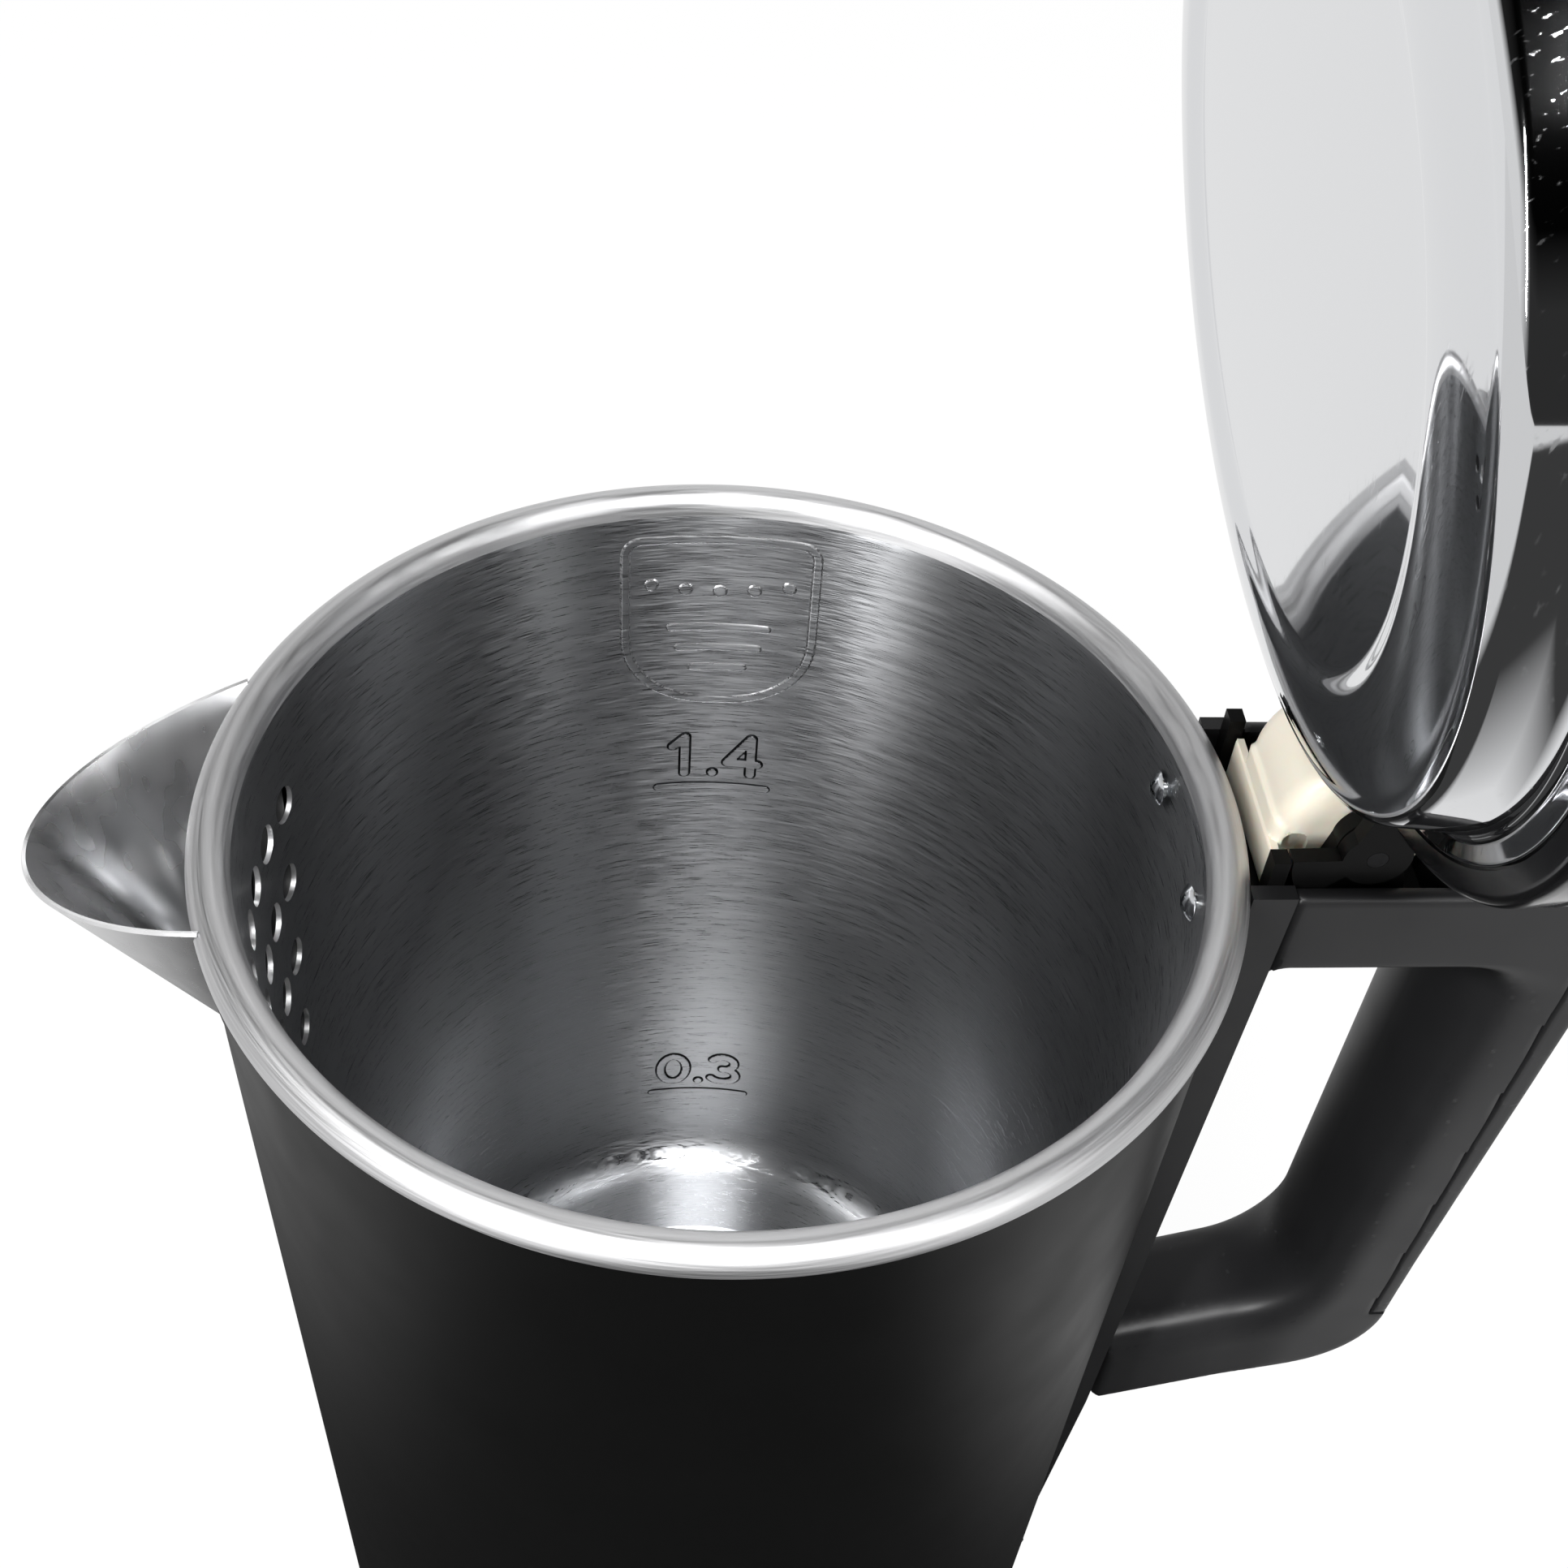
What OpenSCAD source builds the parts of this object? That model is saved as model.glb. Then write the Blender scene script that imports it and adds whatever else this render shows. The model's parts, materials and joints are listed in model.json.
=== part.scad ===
// Cordless jug kettle: double wall body, hinged lid, loop handle.
// Everything is in millimetres, z = 0 is the underside of the base plate, the feet
// stand a little lower, and the body axis is the z axis,
// the handle points along +x and the spout along -x.

/* [Body] */
// Height of the rim above the base plate's underside
rim_z = 250; // [235:1:270]
// Outer radius of the rolled rim
rim_r = 75; // [70:0.5:80]
// Radius of the roll itself
roll_r = 2.8; // [2.2:0.1:3]
// Thickness of the pot sheet
pot_t = 0.8; // [0.6:0.1:1]
// Depth of the pot floor under the rim
pot_depth = 178.5; // [160:0.5:180]
// How much the pot radius shrinks for each millimetre of depth
pot_taper = 0.0522; // [0.04:0.001:0.06]
// Radius of the bend between wall and floor
floor_bend = 8.7; // [6:0.1:10]
// Thickness of the outer shell
shell_t = 1.1; // [0.8:0.1:1.2]
// How much the shell radius shrinks for each millimetre of depth
shell_taper = 0.007; // [0:0.001:0.01]
// Height of the lower edge of the shell
shell_z = 1.5; // [1:0.5:2]

/* [Strainer] */
// Diameter of one strainer hole
hole_d = 6; // [3:0.5:6]
// Angle between two holes of a row
hole_step = 7; // [6:0.5:8]
// Height between two rows
row_step = 13; // [12:0.5:14]
// Holes in the top row
top_row = 5; // [3:1:5]

/* [Spout] */
// Reach of the lip from the body axis
lip_x = 100.5; // [94:0.5:104]
// Curve radius of the lip
lip_r = 10.3; // [9:0.1:12]
// Fall of the mouth for each millimetre outwards
mouth_fall = 0.3; // [0.1:0.05:0.4]
// Depth of the spout root under the rim
root_depth = 62; // [58:1:66]
// Thickness of the spout sheet
spout_t = 0.8; // [0.6:0.1:1]

/* [Handle] */
// Half width of the handle at its top
top_half = 18.5; // [17:0.5:20]
// Loss of half width for each millimetre of depth
half_taper = 0.0433; // [0.03:0.001:0.05]
// Outer face of the mounting rail
rail_x = 79.5; // [78:0.5:81]
// Inner face of the grip
grip_x = 110.3; // [106:0.1:112]
// Outer face of the grip shell, where the cover starts
seam_x = 126.6; // [124:0.1:128]
// Outer face of the grip cover
cover_x = 131.6; // [129:0.1:132]
// Depth of the handle's top face under the rim
arm_top = 1.5; // [1:0.1:3]
// Depth of the underside of the top arm
arm_under = 18.6; // [16:0.1:20]
// Depth of the rail's lower end
rail_end = 228; // [200:1:228]

/* [Lid] */
// Distance of the hinge from the body axis
hinge_x = 90.2; // [89:0.1:92]
// Height of the hinge above the rim
hinge_up = 3.4; // [3:0.1:4]
// Angle of the open lid
open_angle = 80; // [70:1:85]
// Radius of the lid's inner plate
plate_r = 66.6; // [65:0.1:67]
// How far the inner plate reaches into the pot
plate_drop = 10.5; // [8:0.5:12]
// Outer radius of the lid ring
ring_r = 76.8; // [76:0.1:77.5]
// Height of the lid above the rim
lid_h = 17; // [14:0.5:20]
// Diameter of the hinge pin
pin_d = 3; // [2.5:0.1:3.5]

/* [Base] */
// Bore radius of the round connector
socket_r = 13.2; // [12:0.1:14]
// Depth of the connector bore
socket_depth = 18; // [15:1:20]
// Height of the rubber feet under the base plate
foot_h = 2; // [1.5:0.5:2.5]

/* [Hidden] */

$fn = 128;
eps = 0.01;
gap = 0.3;
small_fn = 32;

// Pot and shell radii at a depth d under the rim
pot_r = rim_r - 2 * roll_r - 0.2;
function pot_in(d) = pot_r - pot_taper * d;
function pot_out(d) = pot_in(d) + pot_t;
shell_top = roll_r + 1;
function shell_out(d) = rim_r - 1.2 - shell_taper * d;
function shell_in(d) = shell_out(d) - shell_t;
shell_bottom = rim_z - shell_z;
floor_r = pot_in(pot_depth - floor_bend) - floor_bend;
under_pot = rim_z - pot_depth - pot_t;
function half_w(d) = top_half - half_taper * d;

// Points of an arc from angle a0 to a1
function arc(cx, cy, r, a0, a1, n = 10) =
    [for (i = [0:n]) let (a = a0 + (a1 - a0) * i / n) [cx + r * cos(a), cy + r * sin(a)]];

// Moves a part drawn from the rim down to its height
module from_rim() {
    translate([0, 0, rim_z])
        children();
}

// Extrudes an x-z outline, centred on y
module slab(half) {
    rotate([90, 0, 0])
        translate([0, 0, -half])
            linear_extrude(2 * half)
                children();
}

// Box between two corners
module block(a, b) {
    translate(a)
        cube(b - a);
}

// Cylinder along y between y0 and y1
module rod_y(x, z, r, y0, y1, fn = 48) {
    translate([x, y0, z])
        rotate([-90, 0, 0])
            cylinder(h = y1 - y0, r = r, $fn = fn);
}

// Cylinder along x between x0 and x1
module rod_x(y, z, r, x0, x1, fn = small_fn) {
    translate([x0, y, z])
        rotate([0, 90, 0])
            cylinder(h = x1 - x0, r = r, $fn = fn);
}

// ---------------------------------------------------------------- body

screw_z = -9.9;
screw_y = 11.6;
screw_r = 1.6;
screw_head_r = 2.8;
strainer_top = 19;

// Strainer holes: rows that get one hole shorter each time
module strainer_holes() {
    for (row = [0:top_row - 2])
        for (i = [0:top_row - 1 - row])
            rotate([0, 0, 180 + (i - (top_row - 1 - row) / 2) * hole_step])
                rod_x(0, -strainer_top - row * row_step, hole_d / 2, pot_r - 14, pot_r + 4);
}

module inner_pot() {
    wall_in = [[pot_in(roll_r), -roll_r], [pot_in(pot_depth - floor_bend), floor_bend - pot_depth]];
    bend_in = arc(floor_r, floor_bend - pot_depth, floor_bend, 0, -90);
    bend_out = arc(floor_r, floor_bend - pot_depth, floor_bend + pot_t, -90, 0);
    color("silver")
        from_rim()
            difference() {
                rotate_extrude() {
                    polygon(concat(
                        wall_in, bend_in, [[0, -pot_depth], [0, -pot_depth - pot_t]],
                        bend_out, [[pot_out(roll_r), -roll_r]]));
                    intersection() {
                        translate([rim_r - roll_r, -roll_r])
                            circle(r = roll_r, $fn = 48);
                        translate([pot_r - 1, -shell_top])
                            square([rim_r, shell_top]);
                    }
                }
                strainer_holes();
                for (s = [-1, 1])
                    rod_x(s * screw_y, screw_z, screw_r + 0.1, pot_r - 8, pot_r + 4);
            }
}

window_half = 17;
window_top = 10;
window_bottom = 58;
slot_half = 9.5;
slot_low = 5.5;
slot_high = 20.5;
tail_screw_z = [-120, -210];
tube_top = -12.2;

// Opening in the shell between the strainer and the spout
module spout_window() {
    rotate([90, 0, -90])
        linear_extrude(rim_r + 10)
            polygon([
                [-window_half, -window_top], [window_half, -window_top],
                [window_half * 0.38, -47], [window_half * 0.36, -window_bottom],
                [-window_half * 0.36, -window_bottom], [-window_half * 0.38, -47]]);
}

module outer_shell() {
    color("#141414")
        from_rim()
            difference() {
                rotate_extrude()
                    polygon([
                        [shell_in(shell_top), -shell_top], [shell_out(shell_top), -shell_top],
                        [shell_out(shell_bottom), -shell_bottom], [shell_in(shell_bottom), -shell_bottom]]);
                spout_window();
                for (s = [-1, 1])
                    rod_x(s * screw_y, screw_z, screw_r + 0.1, 60, 80);
                for (z = tail_screw_z)
                    rod_x(0, z, screw_r + 0.1, 60, 80);
                rod_x(0, tube_top, tube_r + 0.1, 60, 80);
                translate([60, -slot_half, slot_low - rim_z])
                    cube([20, 2 * slot_half, slot_high - slot_low]);
            }
}

// Half outline of the mouth from the lip back into the body: midway between a parabola and an ellipse
lip_points = 12;
mouth_back = 66;
mouth_half = 24.8;
mouth_len = 33;
function mouth_side(d) = (sqrt(2 * lip_r * d) + mouth_half * sqrt(1 - (1 - d / mouth_len) ^ 2)) / 2;
function mouth(grow) = [
    for (i = [-lip_points:lip_points])
        let (t = i / lip_points, d = (lip_x - mouth_back) * t * t)
            [-(lip_x - d) - grow * (1 - abs(t)), sign(t) * (mouth_side(d) + grow * abs(t))]];
mouth_z = -1;
mouth_x0 = 71;
root_r = 7;
root_x = 67;
funnel_depth = 48;

// Solid between the mouth outline and the root, grown or shrunk by g, raised by lift
module spout_body(g, lift) {
    slope = atan(mouth_fall);
    hull() {
        translate([-mouth_x0, 0, mouth_z + lift])
            rotate([0, -slope, 0])
                translate([mouth_x0, 0, -eps])
                    linear_extrude(eps)
                        polygon(mouth(g));
        translate([-root_x, 0, -funnel_depth - g])
            cylinder(h = 1, r = root_r + g, $fn = small_fn);
    }
    translate([-root_x, 0, -root_depth - g])
        cylinder(h = root_depth - funnel_depth + 5, r = root_r + g - 0.1, $fn = small_fn);
}

flange_w = 2.4;
flange_t = 0.6;

module spout() {
    color("silver")
        from_rim()
            union() {
                difference() {
                    spout_body(0, 0);
                    spout_body(-spout_t, 0.3);
                    body_solid(0.02);
                    rim_play();
                }
                difference() {
                    intersection() {
                        spout_body(flange_w, 0);
                        body_solid(flange_t);
                        translate([-90, -50, -root_depth - 10])
                            cube([60, 100, root_depth + 10 - shell_top - 1]);
                    }
                    spout_body(-spout_t, 0.3);
                    body_solid(0.02);
                }
            }
}

// The body's outer form, grown by g, from the rim down
module body_solid(g) {
    translate([0, 0, -rim_z])
        cylinder(h = rim_z, r1 = shell_out(rim_z) + g, r2 = shell_out(0) + g);
}

// The rim's roll with a little play round it
module rim_play() {
    rotate_extrude()
        translate([rim_r - roll_r, -roll_r])
            circle(r = roll_r + 0.06, $fn = 48);
}

module spout_gasket() {
    color("#101010")
        from_rim()
            difference() {
                intersection() {
                    rotate_extrude()
                        polygon([
                            [pot_out(7) + 0.05, -7], [shell_in(7) - 0.05, -7],
                            [shell_in(63) - 0.05, -63], [pot_out(63) + 0.05, -63]]);
                    rotate([90, 0, -90])
                        linear_extrude(rim_r)
                            polygon([[-21, 0], [21, 0], [12, -63], [-12, -63]]);
                }
                spout_window();
            }
}

// ---------------------------------------------------------------- handle

// Narrows towards the table, the same for all handle parts
module handle_taper(inset = 0) {
    deep = rail_end + 5;
    translate([60, 0, 0])
        rotate([90, 0, 90])
            linear_extrude(90)
                polygon([
                    [-half_w(-5) + inset, 5], [half_w(-5) - inset, 5],
                    [half_w(deep) - inset, -deep], [-half_w(deep) + inset, -deep]]);
}

rail_back = 73;
rail_low_x = 76;
low_arm_z = 163.4;
block_half = 15.7;
channel_half = block_half + 0.1;

module handle_rail() {
    color("#1c1c1c")
        from_rim()
            difference() {
                intersection() {
                    slab(top_half + 1)
                        polygon([
                            [rail_back, -arm_top], [rail_x, -arm_top], [rail_x - 1, -low_arm_z],
                            [rail_low_x, -rail_end + 2], [rail_low_x - 1.5, -rail_end],
                            [rail_back - 1.6, -rail_end], [rail_back - 1, -low_arm_z]]);
                    handle_taper();
                }
                body_solid(0.02);
                rim_play();
                block([rail_back - 2, -channel_half, -16], [rail_x + 1, channel_half, 10]);
                for (z = tail_screw_z)
                    rod_x(0, z, screw_r - 0.3, 70, rail_x - 2.5);
            }
}

arm_r = 12.8;
arm_slope = 20;
arm_flat = 9.7;
arm_mid = [79, -150];

// Side outline of the whole loop, with round outer corners
module loop_outline() {
    low_r = 14;
    high_r = 9;
    polygon(concat(
        [[rail_x, -arm_top]],
        arc(cover_x - high_r, -arm_top - high_r, high_r, 90, 0, 8),
        [[cover_x - 1.2, -110]],
        arc(cover_x - 1.3 - low_r, -132, low_r, 0, -68, 8),
        [[rail_x, -low_arm_z]]));
}

// Solid loop: top arm, rounded grip and rounded low arm
module loop_solid() {
    intersection() {
        slab(top_half + 1)
            loop_outline();
        handle_taper();
        union() {
            block([rail_x, -30, -arm_under], [140, 30, 0]);
            intersection() {
                block([grip_x, -30, -170], [140, 30, 0]);
                translate([grip_x + 20, 0, -170])
                    cylinder(h = 170, r = 20);
            }
            corner_fillet();
            translate([arm_mid[0], 0, arm_mid[1]])
                rotate([0, 90 - arm_slope, 0])
                    translate([0, 0, -12])
                        intersection() {
                            union() {
                                cylinder(h = 60, r = arm_r);
                                translate([0, -arm_r + 0.1, 0])
                                    cube([16, 2 * arm_r - 0.2, 60]);
                            }
                            translate([-arm_flat, -20, 0])
                                cube([26, 40, 60]);
                        }
        }
    }
}

// Round inner corner under the top arm
module corner_fillet() {
    r = 9;
    difference() {
        block([grip_x - r, -13, -arm_under - r], [grip_x + 5, 13, -arm_under + 1]);
        rod_y(grip_x - r, -arm_under - r, r, -20, 20);
    }
}

cover_low = -128;
cover_high = -9;
skin = 2.6;

// Space that the grip cover fills
module cover_zone(play) {
    block([seam_x - play, -30, cover_low - play], [seam_x + 20, 30, cover_high + play]);
}

cover_screw_z = [-40, -105];

module handle_shell() {
    color("#1c1c1c")
        from_rim()
            difference() {
                loop_solid();
                cover_zone(0.1);
                // cavity of the grip, closed by the cover
                intersection() {
                    block([grip_x + 5, -20, -122], [seam_x + 1, 20, -arm_under + 4]);
                    handle_taper(skin + 2);
                    translate([grip_x + 20, 0, -170])
                        cylinder(h = 170, r = 16);
                }
                // channel of the top arm
                block([rail_x - 1, -channel_half, -arm_under + 3], [seam_x - 3, channel_half, 10]);
            }
    color("#1c1c1c")
        from_rim()
            for (z = cover_screw_z)
                difference() {
                    rod_x(0, z, 3.6, grip_x + 4, seam_x - 0.2);
                    rod_x(0, z, 1.3, grip_x + 9, seam_x + 1);
                }
}

module handle_cover() {
    color("#232323")
        from_rim()
            difference() {
                intersection() {
                    slab(top_half + 1)
                        loop_outline();
                    handle_taper(0.15);
                    cover_zone(0);
                }
                for (z = cover_screw_z)
                    rod_x(0, z, 1.7, seam_x - 1, cover_x + 1);
                for (z = cover_screw_z)
                    rod_x(0, z, 3.1, seam_x + 1.8, cover_x + 1);
            }
}

module cover_screws() {
    color("#303030")
        from_rim()
            for (z = cover_screw_z) {
                rod_x(0, z, 1.25, grip_x + 9.5, seam_x + 2);
                rod_x(0, z, 2.9, seam_x + 1.85, seam_x + 3.6);
            }
}

button_x = [107, 121];
button_half = 8;
top_cover_x = 104.9;

module handle_top_cover() {
    color("#191919")
        from_rim()
            difference() {
                block([top_cover_x, -block_half, -4.4], [seam_x - 3.1, block_half, -arm_top]);
                block(
                    [button_x[0] - gap, -button_half - gap, -6],
                    [button_x[1] + gap, button_half + gap, 5]);
            }
}

// Cross-head screws that hold the handle bracket through the pot wall
module handle_screws() {
    color("gainsboro")
        from_rim()
            for (s = [-1, 1]) {
                x_in = sqrt(pow(pot_in(-screw_z), 2) - screw_y * screw_y);
                difference() {
                    translate([x_in - 1.25, s * screw_y, screw_z])
                        rotate([0, -90, 0])
                            intersection() {
                                translate([0, 0, -3.2])
                                    sphere(r = screw_head_r + 1.1, $fn = 48);
                                translate([0, 0, -0.6])
                                cylinder(h = 3, r = screw_head_r, $fn = 48);
                            }
                    for (a = [0, 90])
                        translate([x_in - 1.6, s * screw_y, screw_z])
                            rotate([a, 0, 0])
                                cube([1, 0.7, 3.2], center = true);
                }
                rod_x(s * screw_y, screw_z, screw_r, x_in - 0.9, 80);
            }
}

module rail_screws() {
    color("gainsboro")
        from_rim()
            for (z = tail_screw_z) {
                rod_x(0, z, screw_r - 0.35, shell_in(-z) - 1, rail_x - 3.2);
                rod_x(0, z, 3, shell_in(-z) - 2, shell_in(-z) - 0.35);
            }
}

// ---------------------------------------------------------------- hinge

block_x = [75.6, 104.6];
block_low = -14.8;
block_floor = -9.4;
block_up = 2.9;
boss_high = -7.6;
boss_x = 81.5;
floor_end_x = 123.3;
wall_y = 12.9;
ear_in = 9.8;
ear_out = 12.6;
ear_r = 5;
claw_r = 11.9;
front_wall = 2.4;

module hinge_block() {
    x0 = block_x[0];
    x1 = block_x[1];
    color("#121212")
        from_rim()
            difference() {
                union() {
                    // floor, screw boss, rear wall and end wall
                    block([x0, -block_half, block_low], [floor_end_x, block_half, block_floor]);
                    block([rail_back, -block_half, block_low], [boss_x, block_half, boss_high]);
                    block([x1 - 2.6, -block_half, block_low], [x1, block_half, -arm_top]);
                    block([floor_end_x - 1.2, -5, block_low], [floor_end_x, 5, -4.6]);
                    rod_x(0, spring_z, 1.1, floor_end_x - 4.5, floor_end_x - 0.5);
                    // rails under the top cover
                    for (s = [-1, 1])
                        translate([110.9, s > 0 ? 12.7 : -block_half, block_low])
                            cube([floor_end_x - 110.9, block_half - 12.7, -4.5 - block_low]);
                    // front corners beside the drum
                    for (s = [-1, 1])
                        translate([x0, s > 0 ? wall_y : -block_half, block_low])
                            cube([front_wall, block_half - wall_y, block_up - block_low]);
                    // ears that carry the hinge pin
                    for (s = [-1, 1])
                        translate([0, s * (ear_in + ear_out) / 2, 0])
                            slab((ear_out - ear_in) / 2) {
                                translate([hinge_x, hinge_up])
                                    circle(r = ear_r, $fn = 48);
                                polygon([
                                    [hinge_x - ear_r, hinge_up], [hinge_x + ear_r, hinge_up],
                                    [hinge_x + 8, -9.5], [hinge_x - 8, -9.5]]);
                            }
                }
                rod_y(hinge_x, hinge_up, pin_d / 2 - eps, -20, 20);
                body_solid(0.1);
                for (s = [-1, 1])
                    rod_x(s * screw_y, screw_z, screw_r + 0.05, 60, 81);
                // run of the latch through the rear wall
                block([x1 - 5, -15.3, block_floor], [x1 + 1, -13, -4.4]);
                // steam inlet from the drum's cavity
                rod_x(0, tube_top, tube_r, 60, 86);
                translate([85, 0, tube_top])
                    cylinder(h = 10, r = 1.4, $fn = small_fn);
            }
}

module hinge_pin() {
    color("gainsboro")
        from_rim()
            rod_y(hinge_x, hinge_up, pin_d / 2, -block_half + 0.2, block_half - 0.2);
}

drum_r = 12.9;
drum_half = 9.4;
apron_x = 77;
apron_low = boss_high + 0.05;

// Ivory cover over the spring, with a round notch and a raised end
module spring_drum() {
    color("ivory")
        from_rim()
            difference() {
                union() {
                    intersection() {
                        rod_y(hinge_x, hinge_up, drum_r, -drum_half + 3, drum_half, 96);
                        block([60, -20, -8], [101.6, 20, 20]);
                    }
                    rod_y(hinge_x, hinge_up, drum_r - 3.1, -drum_half, drum_half, 96);
                    block([apron_x, -drum_half, apron_low], [hinge_x, drum_half, hinge_up - 2]);
                    block([apron_x - 1.2, -wall_y + 0.15, apron_low], [apron_x + 1.2, wall_y - 0.15, 0]);
                }
                rod_y(hinge_x, hinge_up, drum_r - 4.5, -drum_half + 1.5, drum_half - 1.5, 96);
                rod_y(hinge_x, hinge_up, pin_d / 2 + 0.1, -20, 20);
                block([hinge_x - 8, -drum_half + 1.8, -12], [hinge_x + 20, drum_half - 1.8, -3]);
                rod_x(-drum_half, -3.5, 2.6, apron_x - 3, apron_x + 5);
            }
}

coil_r = 4.2;
wire_r = 0.7;
coil_turns = 9;

// Torsion spring: close turns round the pin and two straight legs
module lid_spring() {
    color("silver")
        from_rim() {
            for (i = [0:coil_turns - 1])
                translate([hinge_x, (i - (coil_turns - 1) / 2) * 1.39, hinge_up])
                    rotate([90, 0, 0])
                        rotate_extrude($fn = 48)
                            translate([coil_r, 0])
                                circle(r = wire_r, $fn = 16);
            rod_x(-(coil_turns - 1) / 2 * 1.39, hinge_up - coil_r, wire_r * 0.95, hinge_x - 6.8, hinge_x, 16);
            rod_x((coil_turns - 1) / 2 * 1.39, hinge_up - coil_r, wire_r * 0.95, hinge_x, hinge_x + 6.8, 16);
        }
}

// ---------------------------------------------------------------- lid

// Shows the lid parts, drawn closed, in their open place
module opened() {
    from_rim()
        translate([hinge_x, 0, hinge_up])
            rotate([0, open_angle, 0])
                translate([-hinge_x, 0, -hinge_up])
                    children();
}

plate_t = 0.7;
plate_bend = 3;
flange_r = 72.3;
neck_r = 68.6;
flange_z = 0.5;
step_r = 58;
step_h = 1.6;

module lid_plate() {
    low = -plate_drop;
    inner = plate_bend - plate_t;
    color("gainsboro")
        opened()
            rotate_extrude()
                polygon(concat(
                    [[0, low + step_h], [step_r - 4, low + step_h]],
                    [[step_r, low]],
                    arc(plate_r - plate_bend, low + plate_bend, plate_bend, -90, -10, 6),
                    [[neck_r, flange_z], [flange_r, flange_z], [flange_r, flange_z + plate_t]],
                    [[neck_r - plate_t, flange_z + plate_t]],
                    arc(plate_r - plate_bend, low + plate_bend, inner, -10, -90, 6),
                    [[step_r + 0.5, low + plate_t], [step_r - 3.5, low + step_h + plate_t],
                    [0, low + step_h + plate_t]]));
}

notch_half = 16.3;
cover_t = 0.8;
ring_top = 6.2;

// Room in the lid for the hinge arm
module hinge_notch(low, high, half = notch_half) {
    block([60, -half, low], [90, half, high]);
}

module lid_ring() {
    color("#0e0e0e")
        opened()
            difference() {
                rotate_extrude()
                    polygon(concat(
                        [[flange_r + 0.1, flange_z + 0.1]],
                        arc(ring_r - 1.6, flange_z + 1.7, 1.6, -90, 0, 5),
                        [[ring_r, ring_top], [64, ring_top], [64, 3.8], [66, flange_z + plate_t + 0.05],
                        [flange_r + 0.1, flange_z + plate_t + 0.05]]));
                hinge_notch(-1, 20);
                lid_screw_holes(1.2);
            }
}

module lid_cover() {
    side = ring_r + 0.3;
    edge = 4;
    color("silver")
        opened()
            difference() {
                rotate_extrude()
                    polygon(concat(
                        [[side - cover_t, ring_top + 0.05], [side, ring_top + 0.05]],
                        arc(side - edge, lid_h - 2 - edge, edge, 0, 80, 6),
                        [[0, lid_h], [0, lid_h - cover_t]],
                        arc(side - edge, lid_h - 2 - edge, edge - cover_t, 80, 0, 6)));
                hinge_notch(-1, 9.3);
            }
}

lid_screw = [66, 20.2];
wing_half = 24;
lug_in = 12.9;
lug_out = 15.5;
lug_r = 5;
bar_low = 3.4;
bar_high = 8.9;

// Lid arm: crossbar in the lid, two lugs on the pin, one latch claw
module hinge_arm() {
    color("#111111")
        opened()
            difference() {
                union() {
                    block([66, -lug_out - 0.5, bar_low], [76.6, lug_out + 0.5, bar_high]);
                    block([62, -wing_half, ring_top + 0.05], [70, wing_half, bar_high]);
                    for (s = [-1, 1])
                        translate([0, s * (lug_in + lug_out) / 2, 0])
                            slab((lug_out - lug_in) / 2) {
                                translate([hinge_x, hinge_up])
                                    circle(r = lug_r, $fn = 48);
                                polygon([
                                    [74, bar_low], [80, bar_low], [hinge_x - 2, bar_low - 4],
                                    [hinge_x, hinge_up + lug_r], [74, bar_high]]);
                            }
                    translate([0, -(lug_in + lug_out) / 2, 0])
                        slab((lug_out - lug_in) / 2)
                            claw_outline();
                }
                rod_y(hinge_x, hinge_up, pin_d / 2 + 0.06, -20, 20);
                lid_screw_holes(1.3);
            }
}

// Screw holes of radius r through the wings and into the ring
module lid_screw_holes(r) {
    for (s = [-1, 1])
        translate([lid_screw[0], s * lid_screw[1], 2])
            cylinder(h = 12, r = r, $fn = 32);
}

claw_from = 262;
claw_to = 303;

// Hook below the pin, as the lid lies closed
module claw_outline() {
    difference() {
        translate([hinge_x, hinge_up])
            polygon(concat([[0, 0]], arc(0, 0, claw_r, claw_from, claw_to, 6)));
        translate([hinge_x + 8.3, hinge_up - 5.6])
            circle(r = 2.4, $fn = 32);
    }
}

module lid_screws() {
    color("gainsboro")
        opened()
            for (s = [-1, 1])
                translate([lid_screw[0], s * lid_screw[1], 0]) {
                    translate([0, 0, 2.5])
                        cylinder(h = bar_high - 2, r = 1.15, $fn = 32);
                    translate([0, 0, bar_high + 0.05])
                        cylinder(h = 1.4, r = 2.6, $fn = 32);
                }
}

// ---------------------------------------------------------------- release

nose_x = 97.6;
slider_z = [-9.2, -5.6];
slider_from = 104.9;
slider_to = 115.6;
slider_half = 4.9;
slot_x = [107.6, 113];
slot_y = 3;
wedge_x = [110.9, 112.6];
button_travel = 3;
spring_z = -7.3;

// Nose arm, crossbar and a frame round the button's wedge
module latch_slider() {
    color("#2a2a2a")
        from_rim()
            difference() {
                union() {
                    block([nose_x, -15.1, slider_z[0]], [slot_x[0], -13.2, slider_z[1]]);
                    block([slider_from, -15.1, slider_z[0]], [slot_x[0], slider_half, slider_z[1]]);
                    block([slider_from, -slider_half, slider_z[0]], [slider_to, slider_half, slider_z[1]]);
                }
                block([slot_x[0], -slot_y, slider_z[0] - 1], [slot_x[1], slot_y, slider_z[1] + 1]);
            }
}

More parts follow.
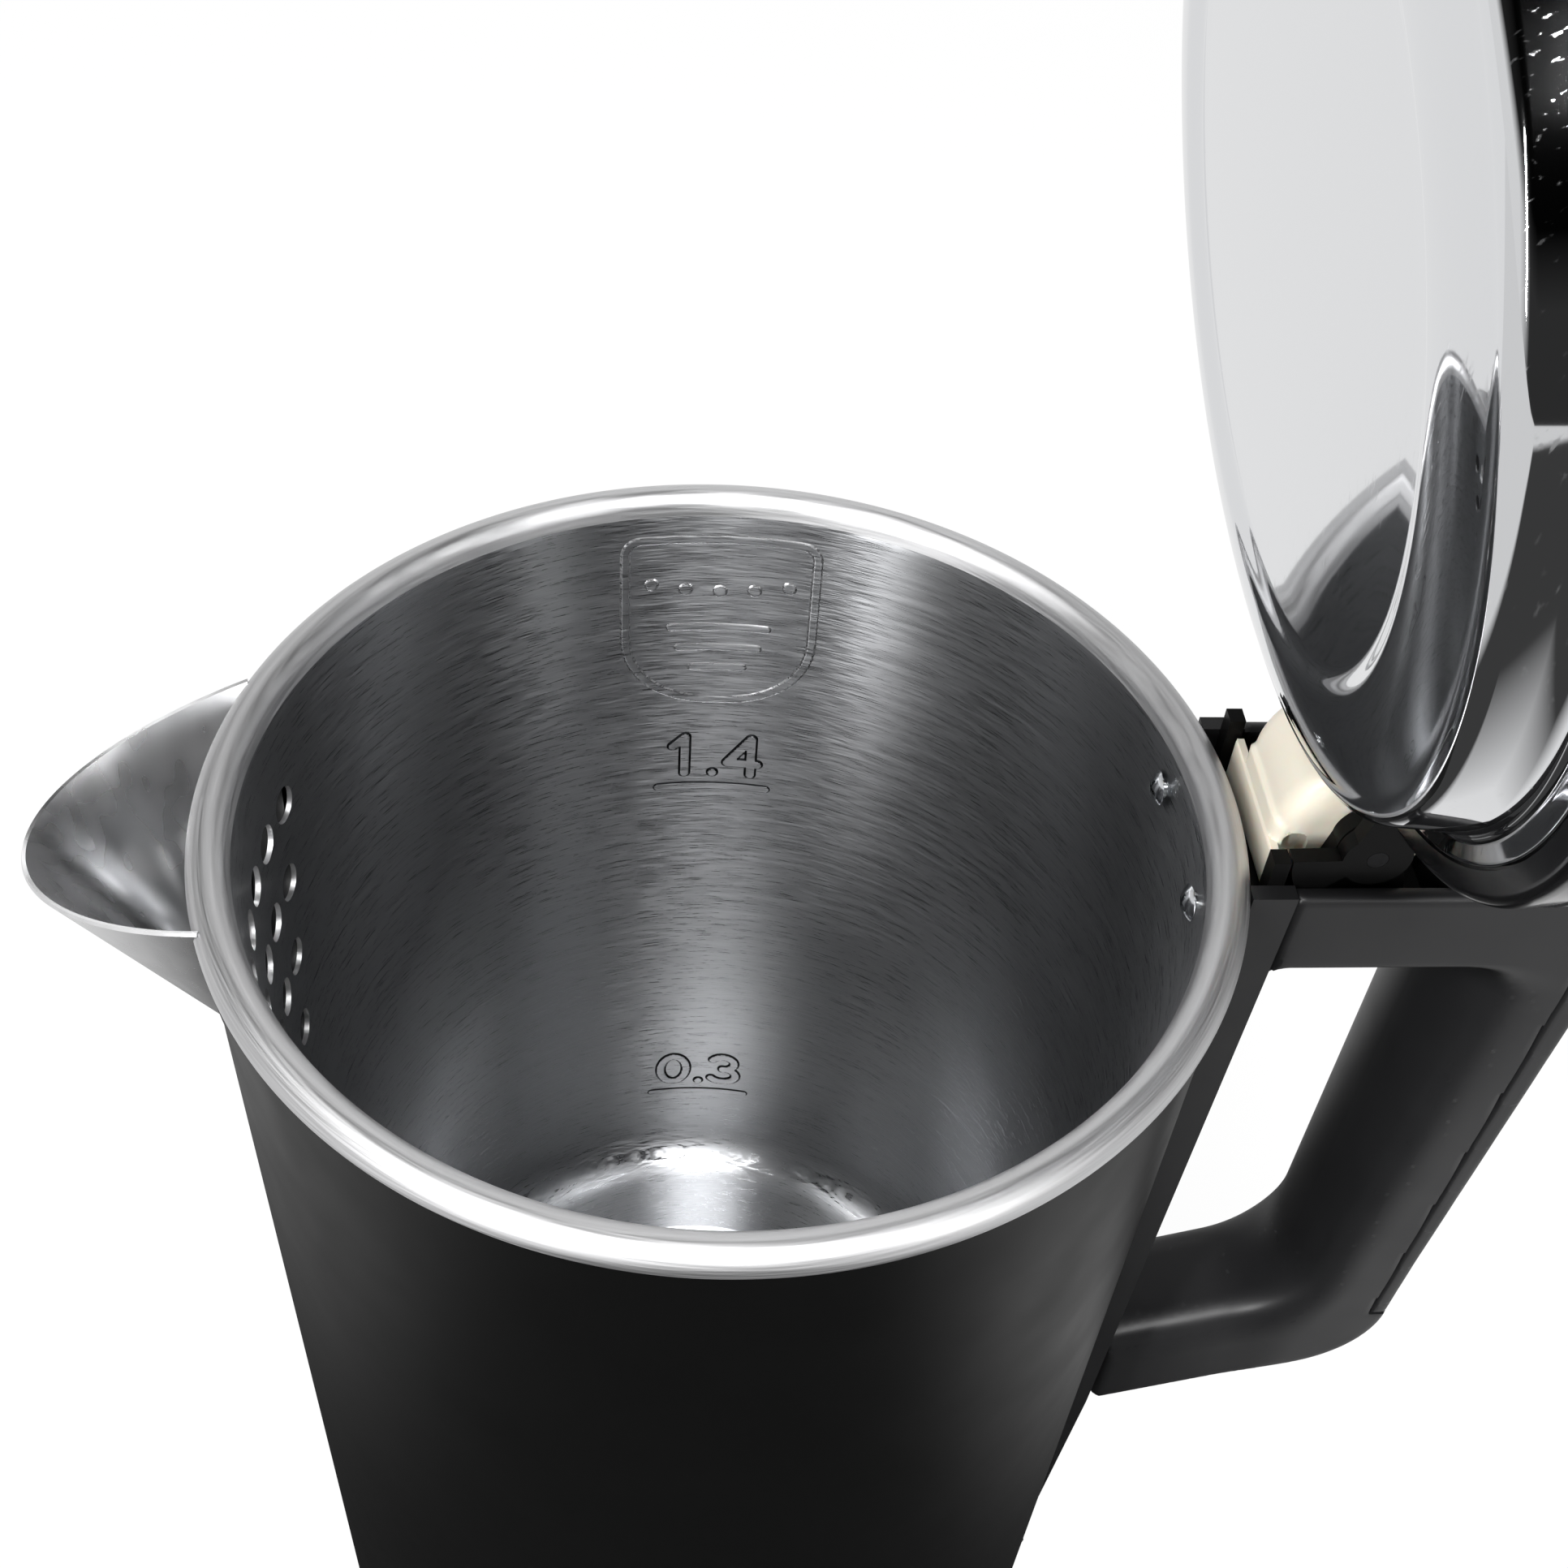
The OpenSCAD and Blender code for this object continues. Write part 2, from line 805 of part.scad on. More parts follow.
module release_button() {
    x0 = button_x[0];
    x1 = button_x[1];
    color("#262626")
        from_rim() {
            difference() {
                block([x0, -button_half, -2.2], [x1, button_half, 2]);
                translate([(x0 + x1) / 2, 0, 22])
                    rotate([90, 0, 0])
                        cylinder(h = 30, r = 20.8, center = true);
            }
            // wedge that drives the latch
            slab(slot_y - 0.6)
                polygon([
                    [wedge_x[0], -2], [wedge_x[1] + button_travel, -2],
                    [wedge_x[1] + button_travel, -5.4 + button_travel],
                    [wedge_x[1], -5.4], [wedge_x[0], -5.4]]);
            // snap legs with barbs under the top cover
            for (x = [110.9, 118.2])
                for (s = [-1, 1]) {
                    translate([x, s > 0 ? button_half - 1.3 : -button_half, -6.1])
                        cube([1.3, 1.3, 4.5]);
                    translate([x, s > 0 ? button_half - 1.3 : -button_half - 1, -6.1])
                        cube([1.3, 2.3, 1.4]);
                }
        }
}

module stacked_spring(r, wire, turns, pitch) {
    for (i = [0:turns - 1])
        translate([0, 0, i * pitch + wire])
            rotate_extrude($fn = 32)
                translate([r, 0])
                    circle(r = wire, $fn = 16);
}

// Spring behind the latch, along x, at the length it has with the latch drawn back
module latch_spring() {
    color("silver")
        from_rim()
            translate([slider_to + button_travel + 0.05, 0, spring_z])
                rotate([0, 90, 0])
                    stacked_spring(1.5, 0.3, 5, 0.59);
}

// Springs under the button, beside its wedge
module button_spring() {
    color("silver")
        from_rim()
            for (s = [-1, 1])
                translate([(button_x[0] + button_x[1]) / 2 + 1, s * 6.6, block_floor])
                    stacked_spring(1.05, 0.3, 12, 0.59);
}

// ---------------------------------------------------------------- base

heat_r = 50;
heat_t = 4;
element_r = 38;
element_wire = 3.3;
heat_low = under_pot - heat_t;

module heating_plate() {
    color("#b9bcc0")
        difference() {
            translate([0, 0, heat_low])
                cylinder(h = heat_t, r = heat_r);
            translate([0, 0, heat_low])
                rotate_extrude()
                    translate([element_r, 0])
                        circle(r = element_wire + 0.05, $fn = 32);
        }
}

module heating_element() {
    color("#8d8f92")
        translate([0, 0, heat_low]) {
            rotate([0, 0, 205])
                rotate_extrude(angle = 310)
                    translate([element_r, 0])
                        circle(r = element_wire, $fn = 32);
            for (a = [205, 155])
                rotate([0, 0, a])
                    translate([element_r, 0, -12])
                        cylinder(h = 12, r = 2, $fn = 24);
        }
}

control_r = 24;
control_low = 30;
control_high = 60;
disc_t = 1.2;

module bimetal_discs() {
    color("#a08a5a")
        for (a = [60, 300])
            rotate([0, 0, a])
                translate([14, 0, heat_low - disc_t])
                    cylinder(h = disc_t, r = 8, $fn = 48);
}

control_screw_a = [0, 120, 240];

module thermal_control() {
    color("#d8d2c4")
        difference() {
            union() {
                translate([0, 0, control_low])
                    cylinder(h = control_high - control_low, r = control_r);
                for (a = [60, 300])
                    rotate([0, 0, a])
                        translate([14, 0, control_high - 1])
                            cylinder(h = heat_low - disc_t - control_high + 1, r = 6, $fn = 48);
                for (a = control_screw_a)
                    rotate([0, 0, a])
                        translate([19, 0, control_high - 1])
                            cylinder(h = heat_low - control_high + 1, r = 3.5, $fn = 32);
            }
            for (a = control_screw_a)
                rotate([0, 0, a])
                    translate([19, 0, 50])
                        cylinder(h = 30, r = 1.7, $fn = 32);
            for (a = control_screw_a)
                rotate([0, 0, a])
                    translate([19, 0, control_low - 1])
                        cylinder(h = 23, r = 3.2, $fn = 32);
        }
}

module control_screws() {
    color("gainsboro")
        for (a = control_screw_a)
            rotate([0, 0, a])
                translate([19, 0, 0]) {
                    translate([0, 0, 50])
                        cylinder(h = heat_low - 50, r = 1.6, $fn = 32);
                    translate([0, 0, 49.6])
                        cylinder(h = 2.3, r = 2.9, $fn = 32);
                }
}

plate_high = 3;
socket_wall = 3.4;

module connector_socket() {
    outer = socket_r + socket_wall;
    color("#17191b")
        difference() {
            union() {
                cylinder(h = control_low, r = outer);
                translate([0, 0, plate_high + 0.05])
                    cylinder(h = 2, r = outer + 5);
            }
            translate([0, 0, -1])
                cylinder(h = socket_depth + 1, r = socket_r);
            for (a = contact_a)
                rotate([0, 0, a])
                    translate([8, 0, 10])
                        cylinder(h = 30, r = 1.25, $fn = 24);
        }
}

contact_a = [90, 210, 330];

// Contacts, flush with the roof of the connector
module socket_contacts() {
    color("#c8a24a")
        for (a = contact_a)
            rotate([0, 0, a])
                translate([8, 0, socket_depth])
                    cylinder(h = control_low - socket_depth - 0.1, r = 1.2, $fn = 24);
}

post_a = [60, 180, 300];
post_x = 61;
cradle_low = 60;
cradle_t = 4;

module pot_cradle() {
    color("#2c2c2c")
        difference() {
            union() {
                translate([0, 0, cradle_low])
                    difference() {
                        cylinder(h = cradle_t, r = shell_in(rim_z - cradle_low) - 0.1);
                        translate([0, 0, -1])
                            cylinder(h = cradle_t + 2, r = heat_r + 1.5);
                    }
                for (a = post_a)
                    rotate([0, 0, a])
                        translate([post_x, 0, plate_high + 0.02])
                            cylinder(h = cradle_low - plate_high + 1, r = 5, $fn = 48);
            }
            for (a = post_a)
                rotate([0, 0, a])
                    translate([post_x, 0, plate_high - 1])
                        cylinder(h = 16, r = 1.5, $fn = 32);
            // steam tube passes through
            translate([tube_low_x, 0, cradle_low - 1])
                cylinder(h = cradle_t + 2, r = 3, $fn = 32);
        }
}

module pot_gasket() {
    bend_z = rim_z - pot_depth + floor_bend;
    bend_out = floor_bend + pot_t + 0.05;
    seat = arc(floor_r, bend_z, bend_out, -80, -50, 6);
    color("#9a3b2e")
        rotate_extrude()
            polygon(concat(seat, [[seat[6][0], cradle_low + cradle_t], [seat[0][0], cradle_low + cradle_t]]));
}

module base_plate() {
    lip = shell_in(rim_z - 6) - 0.15;
    color("#161616")
        difference() {
            union() {
                cylinder(h = plate_high, r = lip);
                translate([0, 0, plate_high - 0.5])
                    difference() {
                        cylinder(h = 4.5, r = lip);
                        translate([0, 0, -1])
                            cylinder(h = 7, r = lip - 2);
                        translate([50, -slot_half - 1, -1])
                            cube([30, 2 * slot_half + 2, 8]);
                    }
            }
            translate([0, 0, -1])
                cylinder(h = 10, r = socket_r + socket_wall + 0.1);
            for (a = post_a)
                rotate([0, 0, a])
                    translate([post_x, 0, 0]) {
                        translate([0, 0, -1])
                            cylinder(h = 6, r = 1.7, $fn = 32);
                        translate([0, 0, -1])
                            cylinder(h = 2.5, r = 3.2, $fn = 32);
                    }
            for (a = foot_a)
                rotate([0, 0, a])
                    translate([foot_x, 0, -1])
                        cylinder(h = 1 + foot_sunk, r = foot_r + 0.1, $fn = 48);
        }
}

module base_screws() {
    color("gainsboro")
        for (a = post_a)
            rotate([0, 0, a])
                translate([post_x, 0, 0]) {
                    translate([0, 0, 1.3])
                        cylinder(h = 15, r = 1.45, $fn = 32);
                    translate([0, 0, 0.1])
                        cylinder(h = 1.25, r = 3, $fn = 32);
                }
}

foot_a = [30, 90, 150, 210, 270, 330];
foot_x = 56;
foot_r = 6;
foot_sunk = 1.2;

module feet() {
    color("#0c0c0c")
        for (a = foot_a)
            rotate([0, 0, a])
                translate([foot_x, 0, -foot_h])
                    cylinder(h = foot_h + foot_sunk, r = foot_r, $fn = 48);
}

tube_r = 1.5;
tube_high_x = 70.95;
tube_low_x = 64.5;
tube_low_z = 30;
tube_bore = 0.9;
tube_end_x = 79;

// Steam tube: inlet from the hinge block, then down between pot and shell
module steam_tube() {
    top = rim_z + tube_top;
    lean = atan((tube_high_x - tube_low_x) / (top - tube_low_z));
    color("#e6e3da")
        difference() {
            union() {
                translate([tube_high_x, 0, top])
                    rotate([0, 180 + lean, 0])
                        translate([0, 0, -tube_r - 0.6])
                            cylinder(h = top - tube_low_z, r = tube_r, $fn = 32);
                rod_x(0, top, tube_r - 0.1, tube_high_x, tube_end_x);
            }
            translate([tube_high_x, 0, top])
                rotate([0, 180 + lean, 0])
                    cylinder(h = top, r = tube_bore, $fn = 32);
            rod_x(0, top, tube_bore - 0.1, tube_high_x + 0.3, tube_end_x + 1);
        }
}

// ---------------------------------------------------------------- switch

pivot = [61, 13];
ear_y = 11;
ear_t = 2;
lever_half = 8.5;

module switch_bracket() {
    color("#d8d2c4")
        difference() {
            union() {
                for (s = [-1, 1])
                    translate([0, s * (ear_y + ear_t / 2), 0])
                        slab(ear_t / 2)
                            polygon([
                                [pivot[0] - 4, plate_high], [pivot[0] + 4, plate_high],
                                [pivot[0] + 3, pivot[1] + 3.5], [pivot[0] - 3, pivot[1] + 3.5]]);
                block([pivot[0] - 4, -ear_y - ear_t, plate_high], [pivot[0] + 4, ear_y + ear_t, plate_high + 1.6]);
            }
            rod_y(pivot[0], pivot[1], 1.5 - eps, -20, 20);
        }
}

module switch_pin() {
    color("gainsboro")
        rod_y(pivot[0], pivot[1], 1.5, -ear_y - ear_t, ear_y + ear_t);
}

module switch_lever() {
    color("#202020")
        difference() {
            union() {
                rod_y(pivot[0], pivot[1], 3.4, -ear_y + gap, ear_y - gap);
                block([pivot[0] - 9, -3, pivot[1] - 1.5], [pivot[0], 3, pivot[1] + 1.5]);
                block([pivot[0], -4, pivot[1] - 2.4], [74, 4, pivot[1] + 2.4]);
                slab(lever_half)
                    polygon([
                        [70.8, pivot[1] - 3], [76.4, pivot[1] - 3], [77, pivot[1] + 1],
                        [75.4, pivot[1] + 3.6], [70.8, pivot[1] + 3.6]]);
            }
            rod_y(pivot[0], pivot[1], 1.5 + 0.06, -20, 20);
        }
}

module micro_switch() {
    color("#3a3a3a")
        difference() {
            block([38, -7, plate_high], [51.4, 7, pivot[1] + 6]);
            block([46, -4.5, pivot[1] - 4.5], [52, 4.5, pivot[1] + 7]);
        }
}

wire_y = [-4.5, 4.5];
wire_t = 1.1;
wire_x = 43;
wire_z = 40;

// Two leads: up from the micro switch, then across to the control
module lead_wires() {
    color("#c23b22")
        for (y = wire_y) {
            translate([wire_x, y, pivot[1] + 6])
                cylinder(h = wire_z - pivot[1] - 6, r = wire_t, $fn = 24);
            translate([wire_x, y, wire_z])
                sphere(r = wire_t, $fn = 24);
            rod_x(y, wire_z, wire_t, control_r - 0.2, wire_x, 24);
        }
}

inner_pot();
outer_shell();
spout();
spout_gasket();
handle_rail();
handle_shell();
handle_cover();
handle_top_cover();
handle_screws();
cover_screws();
rail_screws();
hinge_block();
hinge_pin();
spring_drum();
lid_spring();
latch_spring();
button_spring();
lid_plate();
lid_ring();
lid_cover();
hinge_arm();
lid_screws();
latch_slider();
release_button();
heating_plate();
heating_element();
bimetal_discs();
thermal_control();
control_screws();
connector_socket();
socket_contacts();
pot_cradle();
pot_gasket();
base_plate();
base_screws();
feet();
steam_tube();
switch_bracket();
switch_pin();
micro_switch();
lead_wires();
switch_lever();
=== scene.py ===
import json
import math
import bmesh
import bpy
import numpy as np
from mathutils import Matrix, Vector


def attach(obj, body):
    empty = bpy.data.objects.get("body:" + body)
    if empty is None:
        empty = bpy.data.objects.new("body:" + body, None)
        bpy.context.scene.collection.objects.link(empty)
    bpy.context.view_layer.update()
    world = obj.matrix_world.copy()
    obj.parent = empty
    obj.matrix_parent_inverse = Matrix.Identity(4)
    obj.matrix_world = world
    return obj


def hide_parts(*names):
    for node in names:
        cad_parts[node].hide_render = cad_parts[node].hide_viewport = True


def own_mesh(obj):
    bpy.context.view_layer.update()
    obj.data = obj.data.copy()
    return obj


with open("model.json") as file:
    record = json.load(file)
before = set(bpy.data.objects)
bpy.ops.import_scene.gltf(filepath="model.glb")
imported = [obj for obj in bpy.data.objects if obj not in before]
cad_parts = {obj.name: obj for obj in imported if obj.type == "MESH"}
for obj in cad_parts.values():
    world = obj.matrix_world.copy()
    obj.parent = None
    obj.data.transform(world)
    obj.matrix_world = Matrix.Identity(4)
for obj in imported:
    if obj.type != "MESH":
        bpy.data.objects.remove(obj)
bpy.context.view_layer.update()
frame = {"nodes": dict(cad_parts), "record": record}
nodes = frame["nodes"]
MM = 0.001
RIM = 0.250          # height of the rim above the base plate


# ------------------------------------------------------------------ camera

CAMERA_AT = (-0.01477, -0.19236, RIM + 0.19931)
AZIMUTH, ELEVATION, ROLL = -6.77, 45.44, 4.92      # degrees
LENS, SENSOR = 44.72, 36                           # mm
NEAR, FAR = 0.01, 20


def set_camera():
    """Camera over the front of the pot, looking down into it, a little rolled."""
    azimuth, elevation, roll = (math.radians(v) for v in (AZIMUTH, ELEVATION, ROLL))
    forward = Vector((
        -math.sin(azimuth) * math.cos(elevation),
        math.cos(azimuth) * math.cos(elevation),
        -math.sin(elevation)))
    right = Vector((math.cos(azimuth), math.sin(azimuth), 0))
    up = right.cross(forward)
    right, up = (
        math.cos(roll) * right + math.sin(roll) * up,
        -math.sin(roll) * right + math.cos(roll) * up)
    data = bpy.data.cameras.new("camera")
    data.sensor_width = SENSOR
    data.lens = LENS
    data.clip_start = NEAR
    data.clip_end = FAR
    camera = bpy.data.objects.new("camera", data)
    turn = Matrix((right, up, -forward)).transposed().to_4x4()
    camera.matrix_world = Matrix.Translation(CAMERA_AT) @ turn
    bpy.context.scene.collection.objects.link(camera)
    bpy.context.scene.camera = camera


set_camera()


# --------------------------------------------------------------- materials

def colour(text):
    """Linear colour of an sRGB hex value."""
    parts = [int(text[i:i + 2], 16) / 255 for i in (1, 3, 5)]
    return [p / 12.92 if p <= 0.04045 else ((p + 0.055) / 1.055) ** 2.4 for p in parts] + [1]


def add(tree, kind, values=None, **settings):
    """A node with its settings, its input values, and its links where a value is a socket."""
    node = tree.nodes.new(kind)
    for name, value in settings.items():
        setattr(node, name, value)
    for key, value in (values or {}).items():
        if isinstance(value, bpy.types.NodeSocket):
            tree.links.new(value, node.inputs[key])
        else:
            node.inputs[key].default_value = value
    return node


def material(name, base, roughness, metallic=0.0, **sockets):
    """A Principled material and its tree; sockets are the shader's constants by name."""
    made = bpy.data.materials.new(name)
    made.use_nodes = True
    tree = made.node_tree
    shader = tree.nodes["Principled BSDF"]
    shader.inputs["Base Color"].default_value = colour(base)
    shader.inputs["Roughness"].default_value = roughness
    shader.inputs["Metallic"].default_value = metallic
    for key, value in sockets.items():
        shader.inputs[key.replace("_", " ")].default_value = value
    return made, tree, shader


def ramp(tree, factor, low, high, out_low, out_high):
    """Value mapped between two limits."""
    return add(tree, "ShaderNodeMapRange", {
        0: factor, 1: low, 2: high, 3: out_low, 4: out_high}).outputs[0]


def around_axis(tree, centre, turn):
    """Angle round a lathed piece's axis, in radians, and the height less the radius, in metres."""
    place = add(tree, "ShaderNodeMapping", {
        "Vector": add(tree, "ShaderNodeTexCoord").outputs["Object"],
        "Location": centre, "Rotation": turn}, vector_type="TEXTURE")
    parts = add(tree, "ShaderNodeSeparateXYZ", {0: place.outputs[0]})
    angle = add(tree, "ShaderNodeMath", {0: parts.outputs[1], 1: parts.outputs[0]}, operation="ARCTAN2")
    flat = add(tree, "ShaderNodeCombineXYZ", {0: parts.outputs[0], 1: parts.outputs[1]})
    radius = add(tree, "ShaderNodeVectorMath", {0: flat.outputs[0]}, operation="LENGTH")
    height = add(tree, "ShaderNodeMath", {0: parts.outputs[2], 1: radius.outputs["Value"]}, operation="SUBTRACT")
    return angle.outputs[0], height.outputs[0]


def streaks(tree, along, across, length, width, tilt=0.0, detail=2.0):
    """Noise drawn out into streaks: along is in radians or metres, length and width in its units."""
    a = add(tree, "ShaderNodeMath", {0: along, 1: 1 / length}, operation="MULTIPLY").outputs[0]
    b = add(tree, "ShaderNodeMath", {0: across, 1: 1 / width}, operation="MULTIPLY").outputs[0]
    lean = add(tree, "ShaderNodeMath", {0: a, 1: tilt, 2: b}, operation="MULTIPLY_ADD").outputs[0]
    place = add(tree, "ShaderNodeCombineXYZ", {0: a, 1: lean})
    return add(tree, "ShaderNodeTexNoise", {
        "Vector": place.outputs[0], "Scale": 1.0, "Detail": detail, "Roughness": 0.6}).outputs["Fac"]


def brushed_steel(name, base, roughness, aniso, centre, turn, length, width, sway, dark=0.62, axis="Z"):
    """Stainless sheet, belt brushed round its axis: fine streaks that each lean a little and break up the light.

    Streaks have their length in radians and their width in metres. Sway is how far they lean the normal, and
    dark is the tone of the dull ones.
    """
    made, tree, shader = material(name, base, roughness, 1.0, Anisotropic=aniso, Anisotropic_Rotation=0.25)
    angle, height = around_axis(tree, centre, turn)
    fine = streaks(tree, angle, height, length, width)
    leaning = streaks(tree, angle, height, length * 1.7, width * 1.5, 2.4, 1.0)
    cross = streaks(tree, angle, height, length * 1.3, width * 1.3, -3.2, 1.0)
    both = add(tree, "ShaderNodeMath", {0: fine, 1: leaning}, operation="ADD").outputs[0]
    grain = add(tree, "ShaderNodeMath", {0: cross, 1: both}, operation="ADD").outputs[0]
    broad = streaks(tree, angle, height, length * 5, width * 9, 0.7, 1.0)
    worn = add(tree, "ShaderNodeMath", {0: broad, 1: 0.5, 2: grain}, operation="MULTIPLY_ADD").outputs[0]
    tree.links.new(ramp(tree, worn, 1.45, 2.05, roughness - 0.07, roughness + 0.07), shader.inputs["Roughness"])
    tone = add(tree, "ShaderNodeMix", {
        0: ramp(tree, worn, 1.5, 2.1, 0.0, 1.0),
        6: [c * dark for c in colour(base)[:3]] + [1], 7: colour(base)}, data_type="RGBA")
    tree.links.new(tone.outputs[2], shader.inputs["Base Color"])
    along = add(tree, "ShaderNodeTangent", direction_type="RADIAL", axis=axis).outputs[0]
    tree.links.new(along, shader.inputs["Tangent"])
    lean = ramp(tree, grain, 1.2, 1.8, -sway, sway)
    push = add(tree, "ShaderNodeVectorMath", {0: along, "Scale": lean}, operation="SCALE")
    face = add(tree, "ShaderNodeNewGeometry").outputs["Normal"]
    swayed = add(tree, "ShaderNodeVectorMath", {0: face, 1: push.outputs[0]}, operation="ADD")
    even = add(tree, "ShaderNodeVectorMath", {0: swayed.outputs[0]}, operation="NORMALIZE")
    tree.links.new(even.outputs[0], shader.inputs["Normal"])
    return made


# Places and turns of the patterns on the pot and on the open lid
AT_RIM, UPRIGHT = (0, 0, RIM), (0, 0, 0)
HINGE = Vector((0.0902, 0, RIM + 0.0034))
OPEN = math.radians(80)          # the lid as it stands at rest
LID_AXIS = HINGE - Matrix.Rotation(OPEN, 3, "Y") @ Vector((HINGE.x, 0, 0))

# Belt brushed stainless steel: short streaks round the wall, mid grey with bright upright bands
steel_wall = brushed_steel(
    "steel_belt_brushed", "#98999b", 0.34, aniso=0.9, centre=AT_RIM, turn=UPRIGHT,
    length=0.08, width=0.00012, sway=0.042, dark=0.82)
# Rim of the same sheet, buffed after rolling: nearly white, with faint streaks
steel_rim = brushed_steel(
    "steel_buffed_rim", "#c6c6c7", 0.46, aniso=0.3, centre=AT_RIM, turn=UPRIGHT,
    length=0.30, width=0.00030, sway=0.012, dark=0.90)
# Pot floor: turned rings; its colour is brighter than the wall's as painted light, for the lamps that shine down on
# it
floor_steel_painted_light = brushed_steel(
    "steel_turned_floor_painted_light", "#ececee", 0.30, aniso=0.3, centre=AT_RIM, turn=UPRIGHT,
    length=0.6, width=0.0003, sway=0.03, dark=0.8)
# Lid cover: the same sheet spun and brushed
steel_lid = brushed_steel(
    "steel_spun_cover", "#c6c7c9", 0.28, aniso=0.4, centre=LID_AXIS, turn=(0, OPEN, 0),
    length=0.10, width=0.0003, sway=0.04, axis="X")


def drawn_steel(name, base, roughness, lean):
    """Satin steel sheet folded after brushing: soft streaks that run down the fold."""
    made, tree, shader = material(name, base, roughness, 1.0)
    # streaks 2.4 mm wide and 110 mm long, as coarse as they need to be to show
    per_metre = (420, 420, 9)
    place = add(tree, "ShaderNodeMapping", {
        "Vector": add(tree, "ShaderNodeTexCoord").outputs["Object"], "Rotation": (0, lean, 0), "Scale": per_metre})
    fine = add(tree, "ShaderNodeTexNoise", {"Vector": place.outputs[0], "Scale": 1.0, "Detail": 0.0}).outputs["Fac"]
    cloud = add(tree, "ShaderNodeTexNoise", {
        "Vector": add(tree, "ShaderNodeTexCoord").outputs["Object"], "Scale": 35.0, "Detail": 0.0}).outputs["Fac"]
    both = add(tree, "ShaderNodeMath", {0: cloud, 1: fine}, operation="ADD").outputs[0]
    tree.links.new(ramp(tree, both, 0.7, 1.3, roughness - 0.02, roughness + 0.02), shader.inputs["Roughness"])
    tone = add(tree, "ShaderNodeMix", {
        0: fine, 6: [c * 0.9 for c in colour(base)[:3]] + [1], 7: colour(base)}, data_type="RGBA")
    tree.links.new(tone.outputs[2], shader.inputs["Base Color"])
    bump = add(tree, "ShaderNodeBump", {"Height": fine, "Strength": 1.0, "Distance": 0.0003 * MM})
    tree.links.new(bump.outputs[0], shader.inputs["Normal"])
    return made


# Sloping sides of the pressed marks: a dark steel that paints the shade on their slopes, dark outlines round bright
# tops
steel_painted_shade = drawn_steel("steel_marks_painted_shade", "#3c3d40", 0.30, 0.0)

# Spout sheet, brushed and then folded: light grey satin outside, soft streaks inside
steel_sheet = drawn_steel("steel_satin_folded", "#ececed", 0.27, math.radians(32))


def buffed_steel(name, base, roughness, scratch):
    """Polished metal: a mirror with a slow waviness and hair scratches, drawn coarse enough to show."""
    made, tree, shader = material(name, base, roughness, 1.0)
    place = add(tree, "ShaderNodeTexCoord").outputs["Object"]
    wave = add(tree, "ShaderNodeTexNoise", {"Vector": place, "Scale": 18.0, "Detail": 1.0}).outputs["Fac"]
    hair = add(tree, "ShaderNodeMapping", {"Vector": place, "Scale": (900, 2600, 260), "Rotation": (0.3, 0.5, 0.9)})
    lines = add(tree, "ShaderNodeTexNoise", {"Vector": hair.outputs[0], "Scale": 1.0, "Detail": 2.0}).outputs["Fac"]
    cut = ramp(tree, lines, 0.62, 0.72, 0.0, 1.0)
    tree.links.new(ramp(tree, cut, 0.0, 1.0, roughness, roughness + scratch), shader.inputs["Roughness"])
    slow = add(tree, "ShaderNodeBump", {"Height": wave, "Strength": 1.0, "Distance": 0.05 * MM})
    tree.links.new(slow.outputs[0], shader.inputs["Normal"])
    return made


# Mirror polished stainless steel
steel_mirror = buffed_steel("steel_mirror_polished", "#e2e3e5", 0.035, 0.10)
# Nickel plated screws and pins
nickel = buffed_steel("nickel_plated_steel", "#d4d6d8", 0.12, 0.12)


def moulded(name, base, roughness, grain_mm, depth, **sockets):
    """Moulded plastic or rubber: an even colour, a slightly clouded gloss and the fine grain of the mould."""
    made, tree, shader = material(name, base, roughness, 0.0, **sockets)
    place = add(tree, "ShaderNodeTexCoord").outputs["Object"]
    grain = add(tree, "ShaderNodeTexNoise", {
        "Vector": place, "Scale": 1000 / grain_mm, "Detail": 3.0, "Roughness": 0.6}).outputs["Fac"]
    cloud = add(tree, "ShaderNodeTexNoise", {"Vector": place, "Scale": 60.0, "Detail": 2.0}).outputs["Fac"]
    tree.links.new(ramp(tree, cloud, 0.3, 0.7, roughness - 0.04, roughness + 0.04), shader.inputs["Roughness"])
    tone = add(tree, "ShaderNodeMix", {
        0: cloud, 6: [c * 0.9 for c in colour(base)[:3]] + [1], 7: colour(base)}, data_type="RGBA")
    tree.links.new(tone.outputs[2], shader.inputs["Base Color"])
    bump = add(tree, "ShaderNodeBump", {"Height": grain, "Strength": 1.0, "Distance": depth * MM})
    tree.links.new(bump.outputs[0], shader.inputs["Normal"])
    return made


# Smooth moulded polypropylene jacket: almost black, with a soft sheen at the edges
jacket = moulded("polypropylene_black_smooth", "#070707", 0.36, 1.2, 0.002, Specular_IOR_Level=0.07)
# Handle: spark-eroded ABS, matt black that turns grey where it faces the light
abs_matt = moulded("abs_black_fine_texture", "#111112", 0.42, 0.35, 0.006, Specular_IOR_Level=0.3)
# Hinge parts: polished mould, glossy black
abs_gloss = moulded("abs_black_polished", "#0c0c0d", 0.14, 2.0, 0.003)
# Natural acetal: warm white, a little light goes in
acetal = moulded("acetal_natural", "#ddd6c6", 0.38, 0.7, 0.008, Subsurface_Weight=0.25, Subsurface_Scale=0.002)
